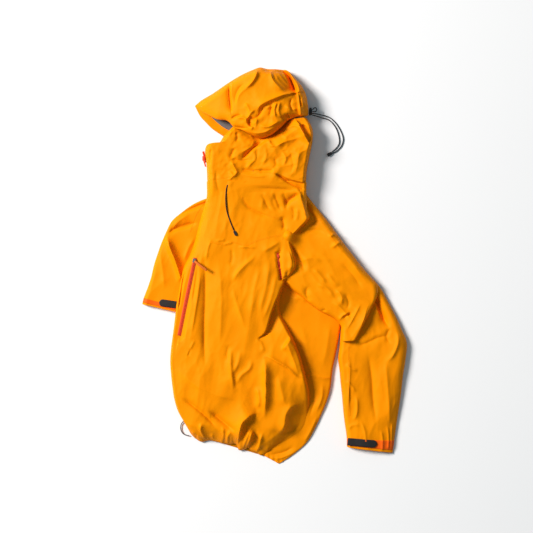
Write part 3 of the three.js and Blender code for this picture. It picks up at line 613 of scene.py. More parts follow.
# ---- Sleeves ----
# Each sleeve is a flattened tube. The left one lies over the back, bent at the elbow, its upper
# part folded over the forearm; the right one comes out from under the front.
def tube(name, inner, outer, tops, feet, rolls, lines, rows, columns, noise_set, material=shell_cloth,
         lift=None, cuts=None):
    """A flattened cloth tube between two edges, open at both ends."""
    plan = station_grid([inner, outer], rows, (columns,))
    x, y = plan[..., 0], plan[..., 1]
    left, right = gaps_to_edges(plan)
    top, foot = by_station(tops, rows), by_station(feet, rows)
    rise = np.minimum(roll(left, rolls[0]), roll(right, by_station(np.atleast_1d(rolls[1]).tolist() * (2 if np.isscalar(rolls[1]) else 1), rows)))
    calm = np.minimum(1, np.minimum(left, right) / 12)
    z = foot + (top - foot) * rise + 2.5 * folds(x, y, lines) * (0.2 + 0.8 * calm)
    for size, height, seed, stretch, turn in noise_set:
        z = z + 1.6 * crumple(x, y, size, height, seed, stretch, turn) * calm
    if lift is not None:
        z = z + lift(x, y)
    under = foot - (foot - 1.0) * np.minimum(1, np.minimum(left, right) / 8)
    z = np.maximum(z, under + 1.2 * calm)
    upper, lower = np.dstack([x, y, z]), np.dstack([x, y, under])[:, -2:0:-3]
    ring = np.concatenate([upper, lower], axis=1)
    made = blank(name, ring, grid_faces(rows, ring.shape[1], close=True), material)
    centre = made.data.polygons[ring.shape[1] // 4]
    thicken(made, offset=1 if centre.normal.z < 0 else -1)
    return made, upper


upper_inner = [(48, 196), (26, 146), (12, 95), (4, 39), (9, -11), (26, -47), (71, -84), (121, -123),
    (163, -145), (183, -165), (186, -185), (186, -207)]
upper_outer = [(79, 213), (107, 177), (141, 135), (166, 101), (191, 67), (216, 34), (244, -3),
    (270, -33), (286, -53), (286, -84), (264, -129), (222, -207)]
upper_folds = [
    ([(191, 70), (172, 62), (155, 48)], 2.8, 5, 4, "a"), ([(174, 93), (160, 87),
        (149, 79)], 2.2, 3, 4, "a"),
    ([(31, 62), (54, 39), (76, 6), (82, -22)], -3, 6, 6), ([(82, 191), (96, 157), (115, 126),
        (82, 109)], -3.5, 6, 7),
    ([(104, 84), (155, 73), (211, 11), (261, -56)], 2.0, 10, 12), ([(104, -5), (121, -22),
        (144, -50)], 2.2, 6, 5),
    ([(93, -53), (88, -78), (99, -101)], -2.4, 4, 5), ([(144, -17), (163, -45),
        (183, -56)], 1.8, 6, 5), ([(115, -50), (144, -61), (166, -89)], 2.0, 6, 5),
    ([(169, -61), (183, -84), (186, -112)], 2.2, 5, 4), ([(194, -73), (205, -101),
        (200, -123)], -1.8, 4, 4),
    ([(188, -145), (205, -134), (216, -131)], -2.6, 3, 4), ([(127, -126), (144, -120)], -2, 3, 3),
        ([(174, -157), (188, -137), (211, -126)], 2, 3, 4),
    ([(71, 11), (99, 23), (132, 11)], 1.5, 8, 8), ([(183, 11), (216, -22), (244, -67)], -1.8, 8, 8),
        ([(43, 95), (99, 101), (144, 95)], -2, 8, 8),
    ([(155, -95), (183, -117), (216, -157)], 1.8, 5, 6), ([(197, -179), (216, -145),
        (239, -101)], 2.0, 5, 5),
]


def upper_lift(x, y):
    """The folded-over end stands clear of the forearm."""
    gap, share = reach(x, y, [(186, -210), (222, -207), (236, -173), (247, -143), (255, -117), (267, -101)])
    seam = 26 * np.exp(-((x - 38) ** 2 + (y - 84) ** 2) / 500)
    return 19 * np.exp(-np.abs(gap) / 22) * np.clip((1 - share) / 0.35, 0, 1) + seam


upper_sleeve, upper_cloth = tube(
    "left_upper_sleeve_cloth", upper_inner, upper_outer, [26, 28, 30, 31, 33, 34, 35, 36, 36, 36, 35, 32],
    [3, 2, 2, 2, 2, 8, 12, 14, 14, 14, 14, 16], (16, 20), upper_folds, 190, 84,
    [(46, 2.4, 7.7, 2.0, -0.9), (19, 0.7, 4.4, 1.6, -0.7)], lift=upper_lift)
wear_on(upper_sleeve, None, "shell_cloth", "left_upper_sleeve")
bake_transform(upper_sleeve)

fore_inner = [(216, -112), (200, -140), (186, -168), (183, -196), (181, -224), (177, -257),
    (181, -291), (184, -325), (188, -361), (191, -397), (195, -434), (201, -476), (202, -505)]
fore_outer = [(278, -39), (300, -67), (318, -101), (340, -143), (356, -179), (370, -215), (366, -263),
    (359, -308), (354, -353), (348, -395), (342, -434), (336, -479), (330, -522)]
fore_folds = [
    ([(272, -73), (289, -109), (306, -148), (320, -176)], -9, 6, 10), ([(270, -67), (278, -106),
        (295, -145)], 2.5, 5, 3),
    ([(340, -179), (341, -213), (328, -246), (309, -269)], 3.4, 6, 4), ([(323, -168), (312, -196),
        (323, -218)], -2.2, 4, 5),
    ([(216, -213), (244, -218), (284, -201), (323, -190)], -2, 6, 7), ([(205, -241), (208, -297),
        (205, -353), (205, -409)], 1.8, 3, 3),
    ([(258, -235), (270, -305), (275, -375), (284, -442)], -3.4, 9, 9), ([(225, -358), (229, -386),
        (225, -417), (214, -431)], 2.4, 5, 3),
    ([(306, -252), (312, -319), (317, -389), (320, -459)], 2.2, 9, 8), ([(312, -442), (317, -470),
        (317, -504)], 1.4, 2.5, 2.5, "b"),
    ([(328, -431), (326, -465), (326, -504)], 1.3, 2.5, 2.5, "b"), ([(295, -453), (300, -481),
        (300, -509)], 1.2, 2.5, 2.5, "b"),
    ([(197, -269), (211, -285), (233, -291)], 1.6, 4, 4), ([(194, -319), (211, -330),
        (227, -353)], 1.5, 4, 4), ([(239, -431), (250, -459), (253, -487)], 1.4, 4, 4, "b"),
    ([(200, -459), (216, -442), (239, -442)], 1.2, 3, 4),
]
forearm, forearm_cloth = tube(
    "left_forearm_cloth", fore_inner, fore_outer, [18, 20, 22, 25, 27, 28, 28, 27, 26, 25, 24, 22, 18],
    [2, 2, 2, 2, 2, 1.6, 1.6, 1.6, 1.6, 1.6, 1.6, 1.6, 1.6], (13, [15, 15, 16, 18, 20, 22, 25, 29, 34, 40, 48, 54, 58]), fore_folds, 190, 74,
    [(44, 2.2, 1.7, 2.6, 1.5), (18, 0.7, 6.4, 1.8, 1.4)])
wear_on(forearm, None, "shell_cloth", "left_lower_sleeve")
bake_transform(forearm)

right_outer = [(-176, 193), (-201, 186), (-232, 171), (-262, 149), (-288, 126), (-304, 95),
    (-317, 65), (-328, 34), (-338, 3), (-346, -31), (-356, -61), (-366, -87), (-371, -106)]
right_inner = [(-136, 95), (-150, 79), (-167, 65), (-184, 48), (-201, 28), (-215, 9), (-226, -14),
    (-237, -36), (-246, -61), (-254, -81), (-260, -98), (-265, -115), (-271, -129)]
right_folds = [
    ([(-190, 177), (-220, 165), (-248, 154), (-271, 140)], -5, 3, 5, "a"), ([(-215, 123), (-248, 112),
        (-276, 104), (-302, 90)], -5, 4, 6),
    ([(-304, 93), (-293, 53), (-276, 11), (-262, -33)], 9, 9, 5, "b"), ([(-237, 146), (-271, 123),
        (-290, 95)], 1.5, 6, 5),
    ([(-321, 45), (-313, -11), (-307, -67)], 1.6, 10, 8), ([(-223, 84), (-243, 45), (-254, 11)], 1.8, 5, 5),
]
right_sleeve, right_cloth = tube(
    "right_sleeve_cloth", right_inner, right_outer,
    [9.2, 9.2, 9.2, 9.2, 9.2, 9.4, 10, 11, 12, 14, 15, 16, 15], [1.6] * 13, (10, 12), right_folds, 130, 60,
    [(40, 1.3, 3.7, 2.2, 1.2), (17, 0.4, 8.4, 1.6, 1.1)])
wear_on(right_sleeve, None, "shell_cloth", "right_sleeve")
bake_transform(right_sleeve)


# ---- Collar ----
# A high collar, crushed down on itself between the yoke and the hood.


def surface_of(piece):
    """A tree that finds the cloth's top face under any point."""
    mesh = piece.data
    return BVHTree.FromPolygons([v.co for v in mesh.vertices], [p.vertices for p in mesh.polygons])


def drape(line, cloth, clear):
    """Points given in mm in plan, set down on the cloth with a clearance."""
    out = []
    for px, py in line:
        hit = cloth.ray_cast(Vector((px * MM, py * MM, 0.3)), Vector((0, 0, -1)))[0]
        out.append((px, py, (hit.z / MM if hit else 1.0) + clear))
    return np.array(out)


COLLAR_LEFT = [(-188, 185), (-188, 213), (-189, 241), (-190, 269), (-192, 294), (-195, 322),
    (-187, 339), (-159, 340), (-142, 364), (-120, 387)]
COLLAR_RIGHT = [(82, 206), (85, 221), (88, 241), (90, 266), (96, 300), (102, 328), (106, 350),
    (107, 373), (102, 392), (90, 412)]
collar_folds = [
    ([(-176, 331), (-178, 303), (-180, 275)], -2.6, 3, 4), ([(-162, 269), (-159, 227),
        (-148, 191)], -1.6, 6, 6),
    ([(-108, 328), (-117, 311), (-122, 294)], -3.2, 3, 5), ([(-122, 294), (-114, 275), (-106, 258),
        (-120, 241)], 4.2, 5, 3), ([(-122, 297), (-97, 291), (-66, 294)], -3, 4, 5),
    ([(-55, 314), (-55, 294), (-69, 280), (-80, 266)], 3.6, 5, 3), ([(-16, 353), (-41, 339),
        (-64, 322), (-80, 305), (-97, 289)], -8, 3, 11), ([(-19, 353), (-10, 333), (4, 328)], 3.2, 3, 4),
    ([(-58, 356), (-61, 333), (-75, 322), (-97, 311)], 3, 4, 5), ([(-108, 373), (-103, 356),
        (-108, 339)], -2.6, 4, 5), ([(-94, 378), (-69, 364), (-58, 350)], 3, 5, 3),
    ([(-86, 266), (-64, 263), (-36, 263), (-10, 263)], -2.4, 3, 3, "ab"), ([(18, 319), (29, 297),
        (23, 275)], 3, 5, 4), ([(-47, 336), (-52, 297), (-69, 275)], -2.5, 5, 6),
    ([(-27, 331), (-24, 303), (-36, 275)], 2.4, 4, 5), ([(-8, 261), (15, 247), (43, 230),
        (82, 216)], -9, 9, 2.5, "b"),
    ([(-13, 263), (15, 252), (48, 238), (85, 230)], 3.5, 5, 4, "b"), ([(-8, 325), (29, 342),
        (65, 353)], 2.6, 6, 6), ([(-2, 303), (4, 280), (-8, 266)], -2, 4, 4),
    ([(64, 394), (79, 364), (94, 336)], 7, 1.5, 9, "ab"), ([(68, 325), (62, 283),
        (54, 247)], 2.2, 8, 7), ([(40, 325), (51, 283), (43, 252)], -2, 5, 6),
    ([(-97, 255), (-55, 247), (-13, 249)], 2, 6, 5), ([(-128, 263), (-117, 249),
        (-128, 235)], 2.2, 3, 3), ([(23, 378), (54, 387), (71, 375)], 3.2, 6, 7),
    ([(-80, 373), (-52, 356), (-19, 359), (15, 381), (40, 412)], -9, 5, 10, "ab"),
]
ROWS, COLUMNS = 150, (120,)
plan = station_grid([COLLAR_LEFT, COLLAR_RIGHT], ROWS, COLUMNS)
x, y = plan[..., 0], plan[..., 1]
from_left, from_right = gaps_to_edges(plan)
top = by_station([53, 57, 59, 60, 60, 60, 59, 58, 55, 50], ROWS)
z = 1.5 + (top - 1.5) * np.minimum(roll(from_left, 20), roll(from_right, 12))
calm = np.minimum(1, np.minimum(from_left, from_right) / 10)
creased = np.clip((y - 225) / 30, 0, 1) * calm
z = z + 2.2 * folds(x, y, collar_folds) * (0.15 + 0.85 * calm)
z = z + (crumple(x, y, 36, 6.5, 2.2, 1.5, 0.5) + crumple(x, y, 15, 2.4, 8.8, 1.3, 0.8)) * creased
z = z + hollows(x, y, [([(65, 389), (79, 361), (93, 339), (102, 350), (96, 375), (82, 392)], 9, 5)])
neck_top = drape(plan[:22].reshape(-1, 2), surface_of(front), -0.9)[:, 2].reshape(22, -1)
sink = np.clip(1 - np.arange(22) / 21, 0, 1)[:, None]
z[:22] = z[:22] * (1 - sink) + np.minimum(z[:22], np.maximum(neck_top, 1)) * sink
collar = blank("collar_cloth", np.dstack([x, y, np.maximum(z, 1)]), grid_faces(ROWS, plan.shape[1]), shell_cloth)
thicken(collar, offset=1 if collar.data.polygons[0].normal.z < 0 else -1)
wear_on(collar, "torso", "shell_cloth", "collar_left", "collar_right", "chin_guard")


# ---- Hood ----
# A deep hood lying on its side: stiffened brim, side panel, crown pulled in by the rear cord.
HOOD_LOWER = [(-223, 446), (-204, 430), (-181, 417), (-159, 406), (-131, 401), (-111, 381),
    (-92, 375), (-69, 363), (-41, 354), (-13, 360), (15, 381), (37, 403), (62, 412), (79, 413), (93, 420)]
HOOD_UPPER = [(-223, 448), (-204, 464), (-173, 482), (-142, 503), (-114, 521), (-89, 535), (-64, 546),
    (-41, 554), (-19, 550), (9, 550), (34, 546), (54, 527), (74, 504), (88, 476), (93, 443)]
hood_folds = [
    ([(-125, 510), (-125, 479), (-122, 448), (-120, 417)], -8, 3, 7), ([(-117, 510), (-120, 479),
        (-120, 448), (-114, 420)], 2.2, 3, 6),
    ([(-47, 546), (-52, 521), (-66, 499), (-86, 485)], 5.0, 4, 9), ([(-78, 504), (-97, 490),
        (-108, 465), (-108, 437)], -2.6, 4, 6), ([(-69, 493), (-97, 471), (-108, 437)], 2, 5, 6),
    # lower edge of the crown panel, lapped over the crushed cheek
    ([(43, 473), (23, 468), (1, 459), (-24, 448), (-44, 434), (-50, 415)], 7, 2.6, 22, "a"), 
    # hollow of the crown
    ([(20, 552), (40, 527), (52, 499), (62, 468)], -24, 4, 24, "a"), ([(-12, 546), (-8, 515),
        (9, 493), (34, 476)], 5, 3, 9), ([(18, 546), (31, 521), (48, 487)], 3, 2.5, 3),
    ([(26, 552), (46, 527), (59, 499), (65, 468), (71, 417)], 6.5, 4, 2.5, "ab"), ([(29, 546),
        (51, 521), (62, 487), (71, 443)], -5, 3, 4, "b"),
    ([(71, 499), (76, 482), (79, 462)], -3, 2.5, 2.5), ([(74, 465), (76, 443),
        (74, 420)], 3, 3, 3, "b"), ([(-33, 552), (-19, 541), (-5, 538)], -3, 3, 3, "a"),
    # cheek
    ([(-122, 403), (-108, 412), (-89, 415)], -3.2, 2.5, 3), ([(-108, 409), (-86, 406),
        (-72, 392)], 3.4, 4, 3), ([(-120, 387), (-97, 381), (-72, 378)], -3.5, 3, 3),
    ([(-75, 409), (-69, 389), (-52, 378)], -4, 4, 4), ([(-47, 409), (-58, 387), (-69, 370)], 4, 4, 4),
        ([(-83, 448), (-72, 431), (-69, 415)], 2.6, 4, 3),
    ([(-33, 445), (-36, 426), (-47, 409), (-64, 398)], -3.5, 3, 4), ([(-10, 451), (-10, 429),
        (-16, 406)], -3.2, 3, 4), ([(6, 451), (-2, 426), (4, 403)], 3.6, 3, 4), ([(15, 454), (9, 426),
            (18, 409)], 3.4, 4, 3),
    ([(-52, 431), (-69, 415), (-80, 389)], 3, 3, 4), ([(-47, 387), (-19, 381), (15, 398)], 4.5, 5, 4),
        ([(23, 417), (43, 412), (62, 417)], -3, 3, 3),
    ([(26, 443), (43, 431), (65, 431)], 2.6, 4, 4), ([(48, 465), (43, 443), (54, 420)], -3, 3, 3),
        ([(-30, 431), (-13, 437), (15, 448)], 2.5, 4, 4),
    ([(-80, 373), (-47, 364), (-13, 373), (20, 398)], 3, 5, 5), ([(-204, 443), (-176, 457),
        (-142, 471)], 1.0, 10, 10),
]
ROWS, COLUMNS = 190, (110,)
plan = station_grid([HOOD_LOWER, HOOD_UPPER], ROWS, COLUMNS)
x, y = plan[..., 0], plan[..., 1]
from_low, from_high = gaps_to_edges(plan)
top = by_station([14, 30, 44, 56, 64, 70, 74, 76, 77, 76, 74, 70, 62, 52, 40], ROWS)
rim = by_station([8, 20, 32, 42, 48, 52, 54, 54, 53, 52, 50, 46, 40, 32, 22], ROWS)
far = by_station([6, 5, 4, 3, 2, 2, 2, 2, 2, 2, 2, 2, 3, 8, 20], ROWS)
z = np.minimum(rim + (top - rim) * roll(from_low, 26), far + (top - far) * roll(from_high, 30))
calm = np.minimum(1, np.minimum(from_low / 5 + 0.3, from_high / 12))
crushed = np.clip((x + 130) / 30, 0, 1) * calm
z = z + 2.0 * folds(x, y, hood_folds) * (0.2 + 0.8 * calm)
z = z + (crumple(x, y, 32, 2.4, 6.1, 1.5, 0.9) + crumple(x, y, 14, 0.8, 4.9, 1.3)) * crushed
z = z + hollows(x, y, [([(76, 487), (79, 454), (89, 437), (93, 459), (85, 485)], 8, 5), ([(-80, 403),
    (-72, 384), (-55, 381), (-50, 403), (-66, 412)], 6, 5),
                       ([(12, 409), (26, 398), (43, 406), (37, 420)], 5, 5)])
z = z + folds(x, y, [([(6, 543), (18, 521), (37, 499), (51, 482)], 3, 2, 2.5), ([(-2, 532), (12, 507),
    (34, 490)], 2.4, 2, 2.5)]) * calm
cheek = np.clip((430 - y) / 30, 0, 1) * crushed
z = z + crumple(x, y, 20, 3.4, 1.4, 1.4, 0.9) * cheek
hood = blank("hood_cloth", np.dstack([x, y, np.maximum(z, 1)]), grid_faces(ROWS, plan.shape[1]), shell_cloth)
thicken(hood, offset=1 if hood.data.polygons[0].normal.z < 0 else -1)
wear_on(hood, None, "shell_cloth", "hood_brim", "hood_crown", "hood_side_left", "hood_side_right", "hood_back_panel")
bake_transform(hood)


# ---- Hood opening: the far rim and the lining ----
# Inside the face opening the far side's bound edge shows, and the pale grey lining behind it.
def lining_finish():
    f = Finish("lining_cloth", Specular_IOR_Level=0.25, Sheen_Weight=0.2)
    threads = f.weave(0.0009, "X") * f.weave(0.0009, "Y")
    return f.drive(Base_Color=f.tint(threads * 0.5 + f.noise(40) * 0.5, (0.10, 0.10, 0.10),
        (0.19, 0.19, 0.19)),
                   Roughness=f.noise(60) * 0.1 + 0.6, Normal=f.relief(threads, 0.3, 0.0004))


lining_cloth = lining_finish()
FAR_RIM = [(-223, 447), (-209, 420), (-192, 401), (-176, 385), (-156, 371), (-139, 361), (-108, 347)]
FAR_DEEP = [(-220, 449), (-190, 443), (-162, 448), (-131, 454), (-97, 454), (-64, 448), (-36, 431)]
plan = station_grid([FAR_RIM, FAR_DEEP], 70, (40,))
x, y = plan[..., 0], plan[..., 1]
from_rim, _ = gaps_to_edges(plan)
z = 2 + 13 * roll(from_rim, 26) + by_station([4, 3, 2, 0, 0, 0, 0], 70) + crumple(x, y, 30, 0.8, 3.3) * np.minimum(1, from_rim / 15)
far_side = blank("hood_far_side", np.dstack([x, y, z]), grid_faces(70, plan.shape[1]), shell_cloth)
thicken(far_side, offset=1 if far_side.data.polygons[0].normal.z < 0 else -1)
wear_on(far_side, "hood", "shell_cloth")
LINING_RIM = [(-176, 415), (-159, 399), (-145, 388), (-131, 380), (-108, 370)]
LINING_DEEP = [(-181, 443), (-148, 454), (-114, 454), (-80, 443), (-52, 420)]
plan = station_grid([LINING_RIM, LINING_DEEP], 50, (30,))
x, y = plan[..., 0], plan[..., 1]
z = 17.5 + crumple(x, y, 16, 0.9, 7.3)
hood_lining = blank("hood_lining_cloth", np.dstack([x, y, z]), grid_faces(50, plan.shape[1]), lining_cloth)
thicken(hood_lining, offset=1 if hood_lining.data.polygons[0].normal.z < 0 else -1)
wear_on(hood_lining, "hood", "lining_cloth", "hood_lining")


# ---- Trim finishes ----
# Moulded black plastic, coral zip tape, the orange cuff band, and the laminate and hook of the tabs.
def trim_finish(name, dark, light, rough, grain_size=500, depth=0.25, gloss=0.4):
    f = Finish(name, Specular_IOR_Level=gloss)
    grain = f.noise(grain_size, 2)
    return f.drive(Base_Color=f.tint(f.noise(90) * 0.6 + grain * 0.4, dark, light),
                   Roughness=f.noise(160) * 0.15 + rough, Normal=f.relief(grain, depth, 0.0004))


black_plastic = trim_finish("black_plastic", (0.010, 0.010, 0.011), (0.024, 0.023, 0.023), 0.34)
spring_steel = trim_finish("spring_steel", (0.4, 0.4, 0.41), (0.5, 0.5, 0.51), 0.25)
coral_tape = trim_finish("coral_tape", (0.66, 0.050, 0.016), (0.84, 0.095, 0.030), 0.5, 900, 0.5, 0.2)
orange_band = trim_finish("orange_band", (0.84, 0.095, 0.0), (0.97, 0.145, 0.003), 0.5, 700, 0.5, 0.15)
tab_laminate = trim_finish("tab_laminate", (0.012, 0.010, 0.010),
    (0.030, 0.026, 0.026), 0.5, 700, 0.6, 0.25)
hook_tape = trim_finish("hook_tape", (0.02, 0.02, 0.02), (0.04, 0.04, 0.04), 0.6, 1200, 1.0, 0.2)
rust_cord = trim_finish("rust_cord", (0.50, 0.100, 0.008), (0.66, 0.145, 0.012), 0.6, 900, 0.6, 0.2)
thread = trim_finish("thread", (0.62, 0.15, 0.002), (0.78, 0.21, 0.004), 0.6, 1500, 0.3, 0.1)


def across(line):
    """The level direction square to a line at each of its points."""
    run = np.gradient(line[:, :2], axis=0)
    run /= np.linalg.norm(run, axis=1)[:, None] + 1e-9
    return np.column_stack([-run[:, 1], run[:, 0]])


def bead(name, line, wide, high, material, sides=8):
    """A low rounded welt along a line in mm, closed at its ends."""
    side = across(line)
    verts = []
    for point, way in zip(line, side):
        for k in range(sides):
            a = 2 * math.pi * k / sides
            verts.append((point[0] + way[0] * math.cos(a) * wide / 2, point[1] + way[1] * math.cos(a) * wide / 2,
                          point[2] + math.sin(a) * high / 2))
    rows = len(line)
    faces = grid_faces(rows, sides, close=True) + [tuple(range(sides))[::-1], tuple((rows - 1) * sides + k for k in range(sides))]
    return blank(name, verts, faces, material)


def stitches(name, line, pitch, length, thick, material):
    """A row of sunk thread stitches, each a small rounded bar."""
    steps = np.r_[0, np.cumsum(np.linalg.norm(np.diff(line, axis=0), axis=1))]
    verts, faces = [], []
    for at in np.arange(pitch, steps[-1] - pitch, pitch):
        ends = [np.array([np.interp(at + d, steps, line[:, k]) for k in range(3)]) for d in (-length / 2, 0, length / 2)]
        run = ends[2] - ends[0]
        run /= np.linalg.norm(run) + 1e-9
        way = np.cross(run, (0, 0, 1))
        base = len(verts)
        for point, size in zip(ends, (0.35, 1, 0.35)):
            for k in range(6):
                a = 2 * math.pi * k / 6
                verts.append(point + way * math.cos(a) * thick / 2 * size + np.array((0, 0, 1)) * math.sin(a) * thick / 2 * size)
        faces += [(base + r * 6 + k, base + r * 6 + (k + 1) % 6, base + (r + 1) * 6 + (k + 1) % 6, base + (r + 1) * 6 + k)
                  for r in range(2) for k in range(6)]
        faces += [tuple(base + k for k in range(6))[::-1], tuple(base + 12 + k for k in range(6))]
    return blank(name, verts, faces, material)


def ribbon(name, line, wide, thick, material, round_end=False, crown=0.0):
    """A flat tape along a line in mm, with square or rounded far end."""
    side = across(line)
    steps = np.r_[0, np.cumsum(np.linalg.norm(np.diff(line, axis=0), axis=1))]
    verts = []
    columns = np.linspace(-1, 1, 9)
    for point, way, at in zip(line, side, steps):
        half = wide / 2
        if round_end:
            left = steps[-1] - at
            half = wide / 2 * math.sqrt(max(0.02, 1 - max(0, 1 - left / (wide / 2)) ** 2))
        for c in columns:
            verts.append((point[0] + way[0] * half * c, point[1] + way[1] * half * c, point[2] + crown * (1 - c * c)))
    made = blank(name, verts, grid_faces(len(line), 9), material)
    return thicken(made, thick * MM, 1)


# ---- Zips ----
# Coral tape with a moulded coil. The chest zip is let into the front on a slant; the pit zip
# lies in the fold beside the armhole; the main zip is folded in at the centre front.
def zip_run(name, line, wide, coil, body, *nodes):
    line = smooth_line(line, max(30, int(np.linalg.norm(np.diff(np.array(line), axis=0), axis=1).sum() / 4)))
    tape = ribbon(name + "_tape", line, wide, 0.7, coral_tape)
    wear_on(tape, body, "coral_tape", *nodes[:1])
    side = across(line)
    steps = np.r_[0, np.cumsum(np.linalg.norm(np.diff(line, axis=0), axis=1))]
    verts, faces = [], []
    for n, at in enumerate(np.arange(1.5, steps[-1] - 1, 1.9)):
        here = np.array([np.interp(at, steps, line[:, k]) for k in range(3)])
        way = np.append(np.array([np.interp(at, steps, side[:, k]) for k in range(2)]), 0)
        run = np.cross(way, (0, 0, 1))
        lean = 0.35 if n % 2 else -0.35
        base = len(verts)
        for c, high in ((-1, 0.5), (-0.55, 1.25), (0, 1.45), (0.55, 1.25), (1, 0.5)):
            for d, e in ((-0.62, 0), (-0.4, 1), (0.4, 1), (0.62, 0)):
                verts.append(here + way * c * coil / 2 + run * (d + lean * c) + np.array((0, 0, 0.4 + high * (0.3 + 0.7 * e))))
        faces += [(base + r * 4 + k, base + r * 4 + k + 1, base + r * 4 + k + 5, base + r * 4 + k + 4) for r in range(4) for k in range(3)]
        faces += [(base, base + 1, base + 2, base + 3), (base + 19, base + 18, base + 17, base + 16)]
        faces += [(base + r * 4 + 3, base + r * 4, base + r * 4 + 4, base + r * 4 + 7) for r in range(4)]
    teeth = blank(name + "_coil", verts, faces, coral_tape)
    wear_on(teeth, body, "coral_tape", *nodes[1:])
    return tape, teeth


zip_run("chest_zip", CHEST_ZIP, 9.6, 4.2, "torso", "chest_zip_tape", "chest_zip_teeth")
zip_run("pit_zip", PIT_ZIP, 6.4, 3.4, "torso", "pit_zip")
front_cloth, collar_top = surface_of(front), surface_of(collar)
MAIN_ZIP_SHOWN = [(-190.5, 289, 13), (-193, 297, 14), (-195.5, 306, 15), (-198, 314, 15),
    (-199.5, 320, 14.5)]
zip_run("main_zip_at_collar", MAIN_ZIP_SHOWN, 6.0, 3.4, "torso", "main_zip_collar")
MAIN_ZIP_HIDDEN = [(-178, 224), (-190, 151), (-211, 73), (-243, -5), (-258, -67), (-268, -134),
    (-276, -201), (-281, -266), (-277, -336), (-261, -400), (-243, -435)]
hidden = np.array([(px, py, 6.0 if py > -80 else 3.2) for px, py in smooth_line(MAIN_ZIP_HIDDEN, 60)])
zip_run("main_zip_in_fold", hidden, 6, 3, "torso", "main_zip")

# cord pulls: a doubled rust cord through the chest slider, and a short coral one at the collar
pull_line = smooth_line([(-221.5, 13.8, 54), (-212, 6.5, 60), (-199, -3, 64.5), (-187, -11.4, 67)], 16)
chest_pull = bead("chest_zip_cord_pull", pull_line, 6.4, 3.2, rust_cord, 10)
wear_on(chest_pull, "chest_zip_pull", "black_plastic", "chest_zip_pull")
main_pull_line = smooth_line([(-198, 296, 17.5), (-196, 289, 17.3), (-194, 283, 16.8),
    (-192.5, 277, 16)], 12)
main_pull = bead("main_zip_cord_pull", main_pull_line, 4.2, 2.2, coral_tape, 10)
wear_on(main_pull, "main_zip_pull", "black_plastic", "main_zip_pull")


# ---- Cuffs ----
# A bonded orange band round each wrist, a rounded black laminate tab over it, and the
# hook patch that the tab presses onto.
def cuff_band(name, cloth, first, last, body, *nodes):
    rows = cloth[first:last]
    made = blank(name, rows + np.array((0, 0, 0.9)), grid_faces(len(rows), rows.shape[1]), orange_band)
    thicken(made, 0.7 * MM, 1 if made.data.polygons[10].normal.z < 0 else -1)
    return wear_on(made, body, "orange_band", *nodes)


def tab_strap(name, start, end, cloth, wide, body, clear, root, hinge, *nodes):
    line = np.linspace(start, end, 26)
    line = drape(line, cloth, clear)
    line[:, 2] = np.convolve(np.pad(line[:, 2], 4, mode="edge"), np.ones(9) / 9, mode="valid") + 0.4
    line[:7, 2] = line[7, 2]
    strap = ribbon(name, line, wide, 1.3, tab_laminate, round_end=True, crown=0.5)
    wear_on(strap, None, "tab_laminate", *nodes)
    side = across(line)
    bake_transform(strap)
    rim = []
    for sign in (1, -1):
        rim.append(line[2:-7] + np.column_stack([side[2:-7] * sign * (wide / 2 - 2), np.full(len(line) - 9, 1.25)]))
    for k, row in enumerate(rim):
        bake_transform(wear_on(stitches(f"{name}_stitch_{k}", row, 3.2, 2.2, 0.5, black_plastic), None, "tab_laminate"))
    return strap, line


cuff_band("left_cuff_band_cloth", forearm_cloth, 176, 187, "left_forearm", "left_cuff_band")
left_wrist = surface_of(bpy.data.objects["left_cuff_band_cloth"])
_, left_tab_line = tab_strap("left_cuff_strap", [(202, -488)][0], [(284, -495)][0], surface_of(forearm), 21,
                             "left_cuff_tab", 3.0, "left_forearm", (207.3, -489), "left_cuff_tab")
patch_line = left_tab_line[14:24] - np.array((0, 0, 1.1))
wear_on(ribbon("left_hook_tape", patch_line, 15, 0.7, hook_tape), "left_forearm", "hook_tape", "left_hook_patch")
cuff_band("right_cuff_band_cloth", right_cloth, 119, 127, "right_sleeve", "right_cuff_band")
_, right_tab_line = tab_strap("right_cuff_strap", [(-274, -108)][0], [(-322, -101)][0], surface_of(right_sleeve), 20,
                              "right_cuff_tab", 2.6, "right_sleeve", (-286, -106), "right_cuff_tab")
patch_line = right_tab_line[14:24] - np.array((0, 0, 1.1))
wear_on(ribbon("right_hook_tape", patch_line, 15, 0.7, hook_tape), "right_sleeve", "hook_tape", "right_hook_patch")


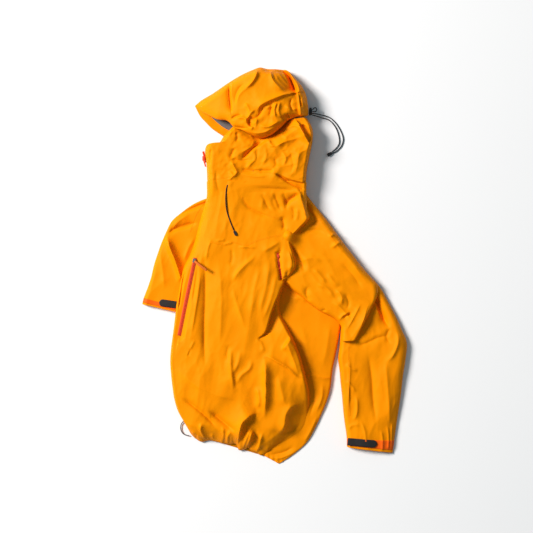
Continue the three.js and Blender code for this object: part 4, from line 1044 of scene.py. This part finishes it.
# ---- Seams ----
# Narrow welts where panels are joined, each with its row of thread.
HOOD_BEND = ("torso", "hood", (-0.019, 0.365, 0.06), (-0.013, 0.425, 0.06))
UPPER_BEND = ("torso", "left_upper_sleeve", (0.050, 0.150, 0.02), (0.105, 0.075, 0.02))
FORE_BEND = ("left_upper_sleeve", "left_forearm", (0.26, -0.165, 0.02), (0.25, -0.265, 0.02))
RIGHT_BEND = ("torso", "right_sleeve", (-0.165, 0.150, 0.005), (-0.255, 0.080, 0.005))
upper_top, fore_top, hood_top, back_top, right_top = map(
    surface_of, (upper_sleeve, forearm, hood, back, right_sleeve))
seams = [
    ("yoke_seam", [(-176, 65), (-145, 60), (-114, 65), (-80, 56), (-55, 67), (-13, 79),
        (18, 84)], front_cloth, None),
    ("yoke_curve_seam", [(-92, 191), (-80, 171), (-64, 157), (-36, 143), (-8, 135),
        (18, 129)], front_cloth, None),
    ("armhole_seam", [(37, 104), (29, 90), (20, 73)], front_cloth, None),
    ("side_seam", [(-33, -255), (-19, -252), (6, -264), (34, -280), (59, -302),
        (76, -308)], front_cloth, None),
    ("neck_seam", [(-184, 238), (-148, 241), (-108, 249), (-86, 261), (-41, 258), (-8, 255),
        (15, 244), (43, 227), (76, 216)], collar_top, None),
    ("back_seam", [(88, -302), (110, -306), (135, -313), (155, -312)], back_top, None),
    ("forearm_seam", [(205, -224), (204, -269), (205, -319), (206, -369),
        (209, -417)], fore_top, FORE_BEND),
    ("hood_crown_seam", [(23, 546), (43, 524), (55, 499), (62, 468), (68, 423)], hood_top, HOOD_BEND),
    ("hood_side_seam", [(40, 475), (23, 469), (1, 461), (-24, 450), (-43, 437),
        (-47, 415)], hood_top, HOOD_BEND),
    ("hood_brim_seam", [(-130, 510), (-130, 479), (-127, 448), (-122, 417)], hood_top, HOOD_BEND),
    ("right_sleeve_seam", [(-198, 174), (-220, 143), (-237, 95)], right_top, RIGHT_BEND),
    ("upper_sleeve_seam", [(96, 174), (121, 135), (155, 84), (186, 39)], upper_top, UPPER_BEND),
]
for name, line, cloth, bend in seams:
    line = smooth_line(line, max(20, int(len(line) * 14)))
    on_cloth = drape(line, cloth, 0.15)
    beside = drape(line + across(line) * 2.4, cloth, 0.12)
    for piece in (bead(name, on_cloth, 1.5, 0.7, shell_cloth), stitches(name + "_thread", beside, 2.6, 1.9, 0.45, thread)):
        wear_on(piece, None if bend else "torso", "shell_cloth")
        if bend:
            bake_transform(piece)


# ---- Hem ----
# The hem's grey cord runs in its channel and comes out as a loop at the front corner.
channel = smooth_line([(-219, -475, 5), (-190, -483, 4.5), (-150, -487, 4.5), (-110, -490, 4.5),
    (-80, -500, 4.5), (-47, -509, 4.5)], 40)
hem_run = bead("hem_cord_in_channel", channel, HEM_CORD_D / MM, HEM_CORD_D / MM, grey_cord)
wear_on(hem_run, "torso", "grey_cord", "hem_drawcord")


# ---- Parts carried over from the frame ----
# Sliders, locks, fittings and the spring keep the frame's shapes and take their own finishes.
finishes = {"black_plastic": black_plastic, "black_cord": black_cord, "grey_cord": grey_cord,
            "coral_tape": coral_tape, "orange_band": orange_band, "tab_laminate": tab_laminate,
            "hook_tape": hook_tape, "spring_steel": spring_steel, "shell_cloth": shell_cloth,
            "lining_cloth": lining_cloth}
for row in frame["record"]["subparts"]:
    node = frame["nodes"].get(row.get("node", row.get("name")))
    if node:
        node.data.materials.clear()
        coral = row["node"] in ("main_zip_slider", "pit_zip_slider")
        node.data.materials.append(coral_tape if coral else finishes[row["material_slot"]])
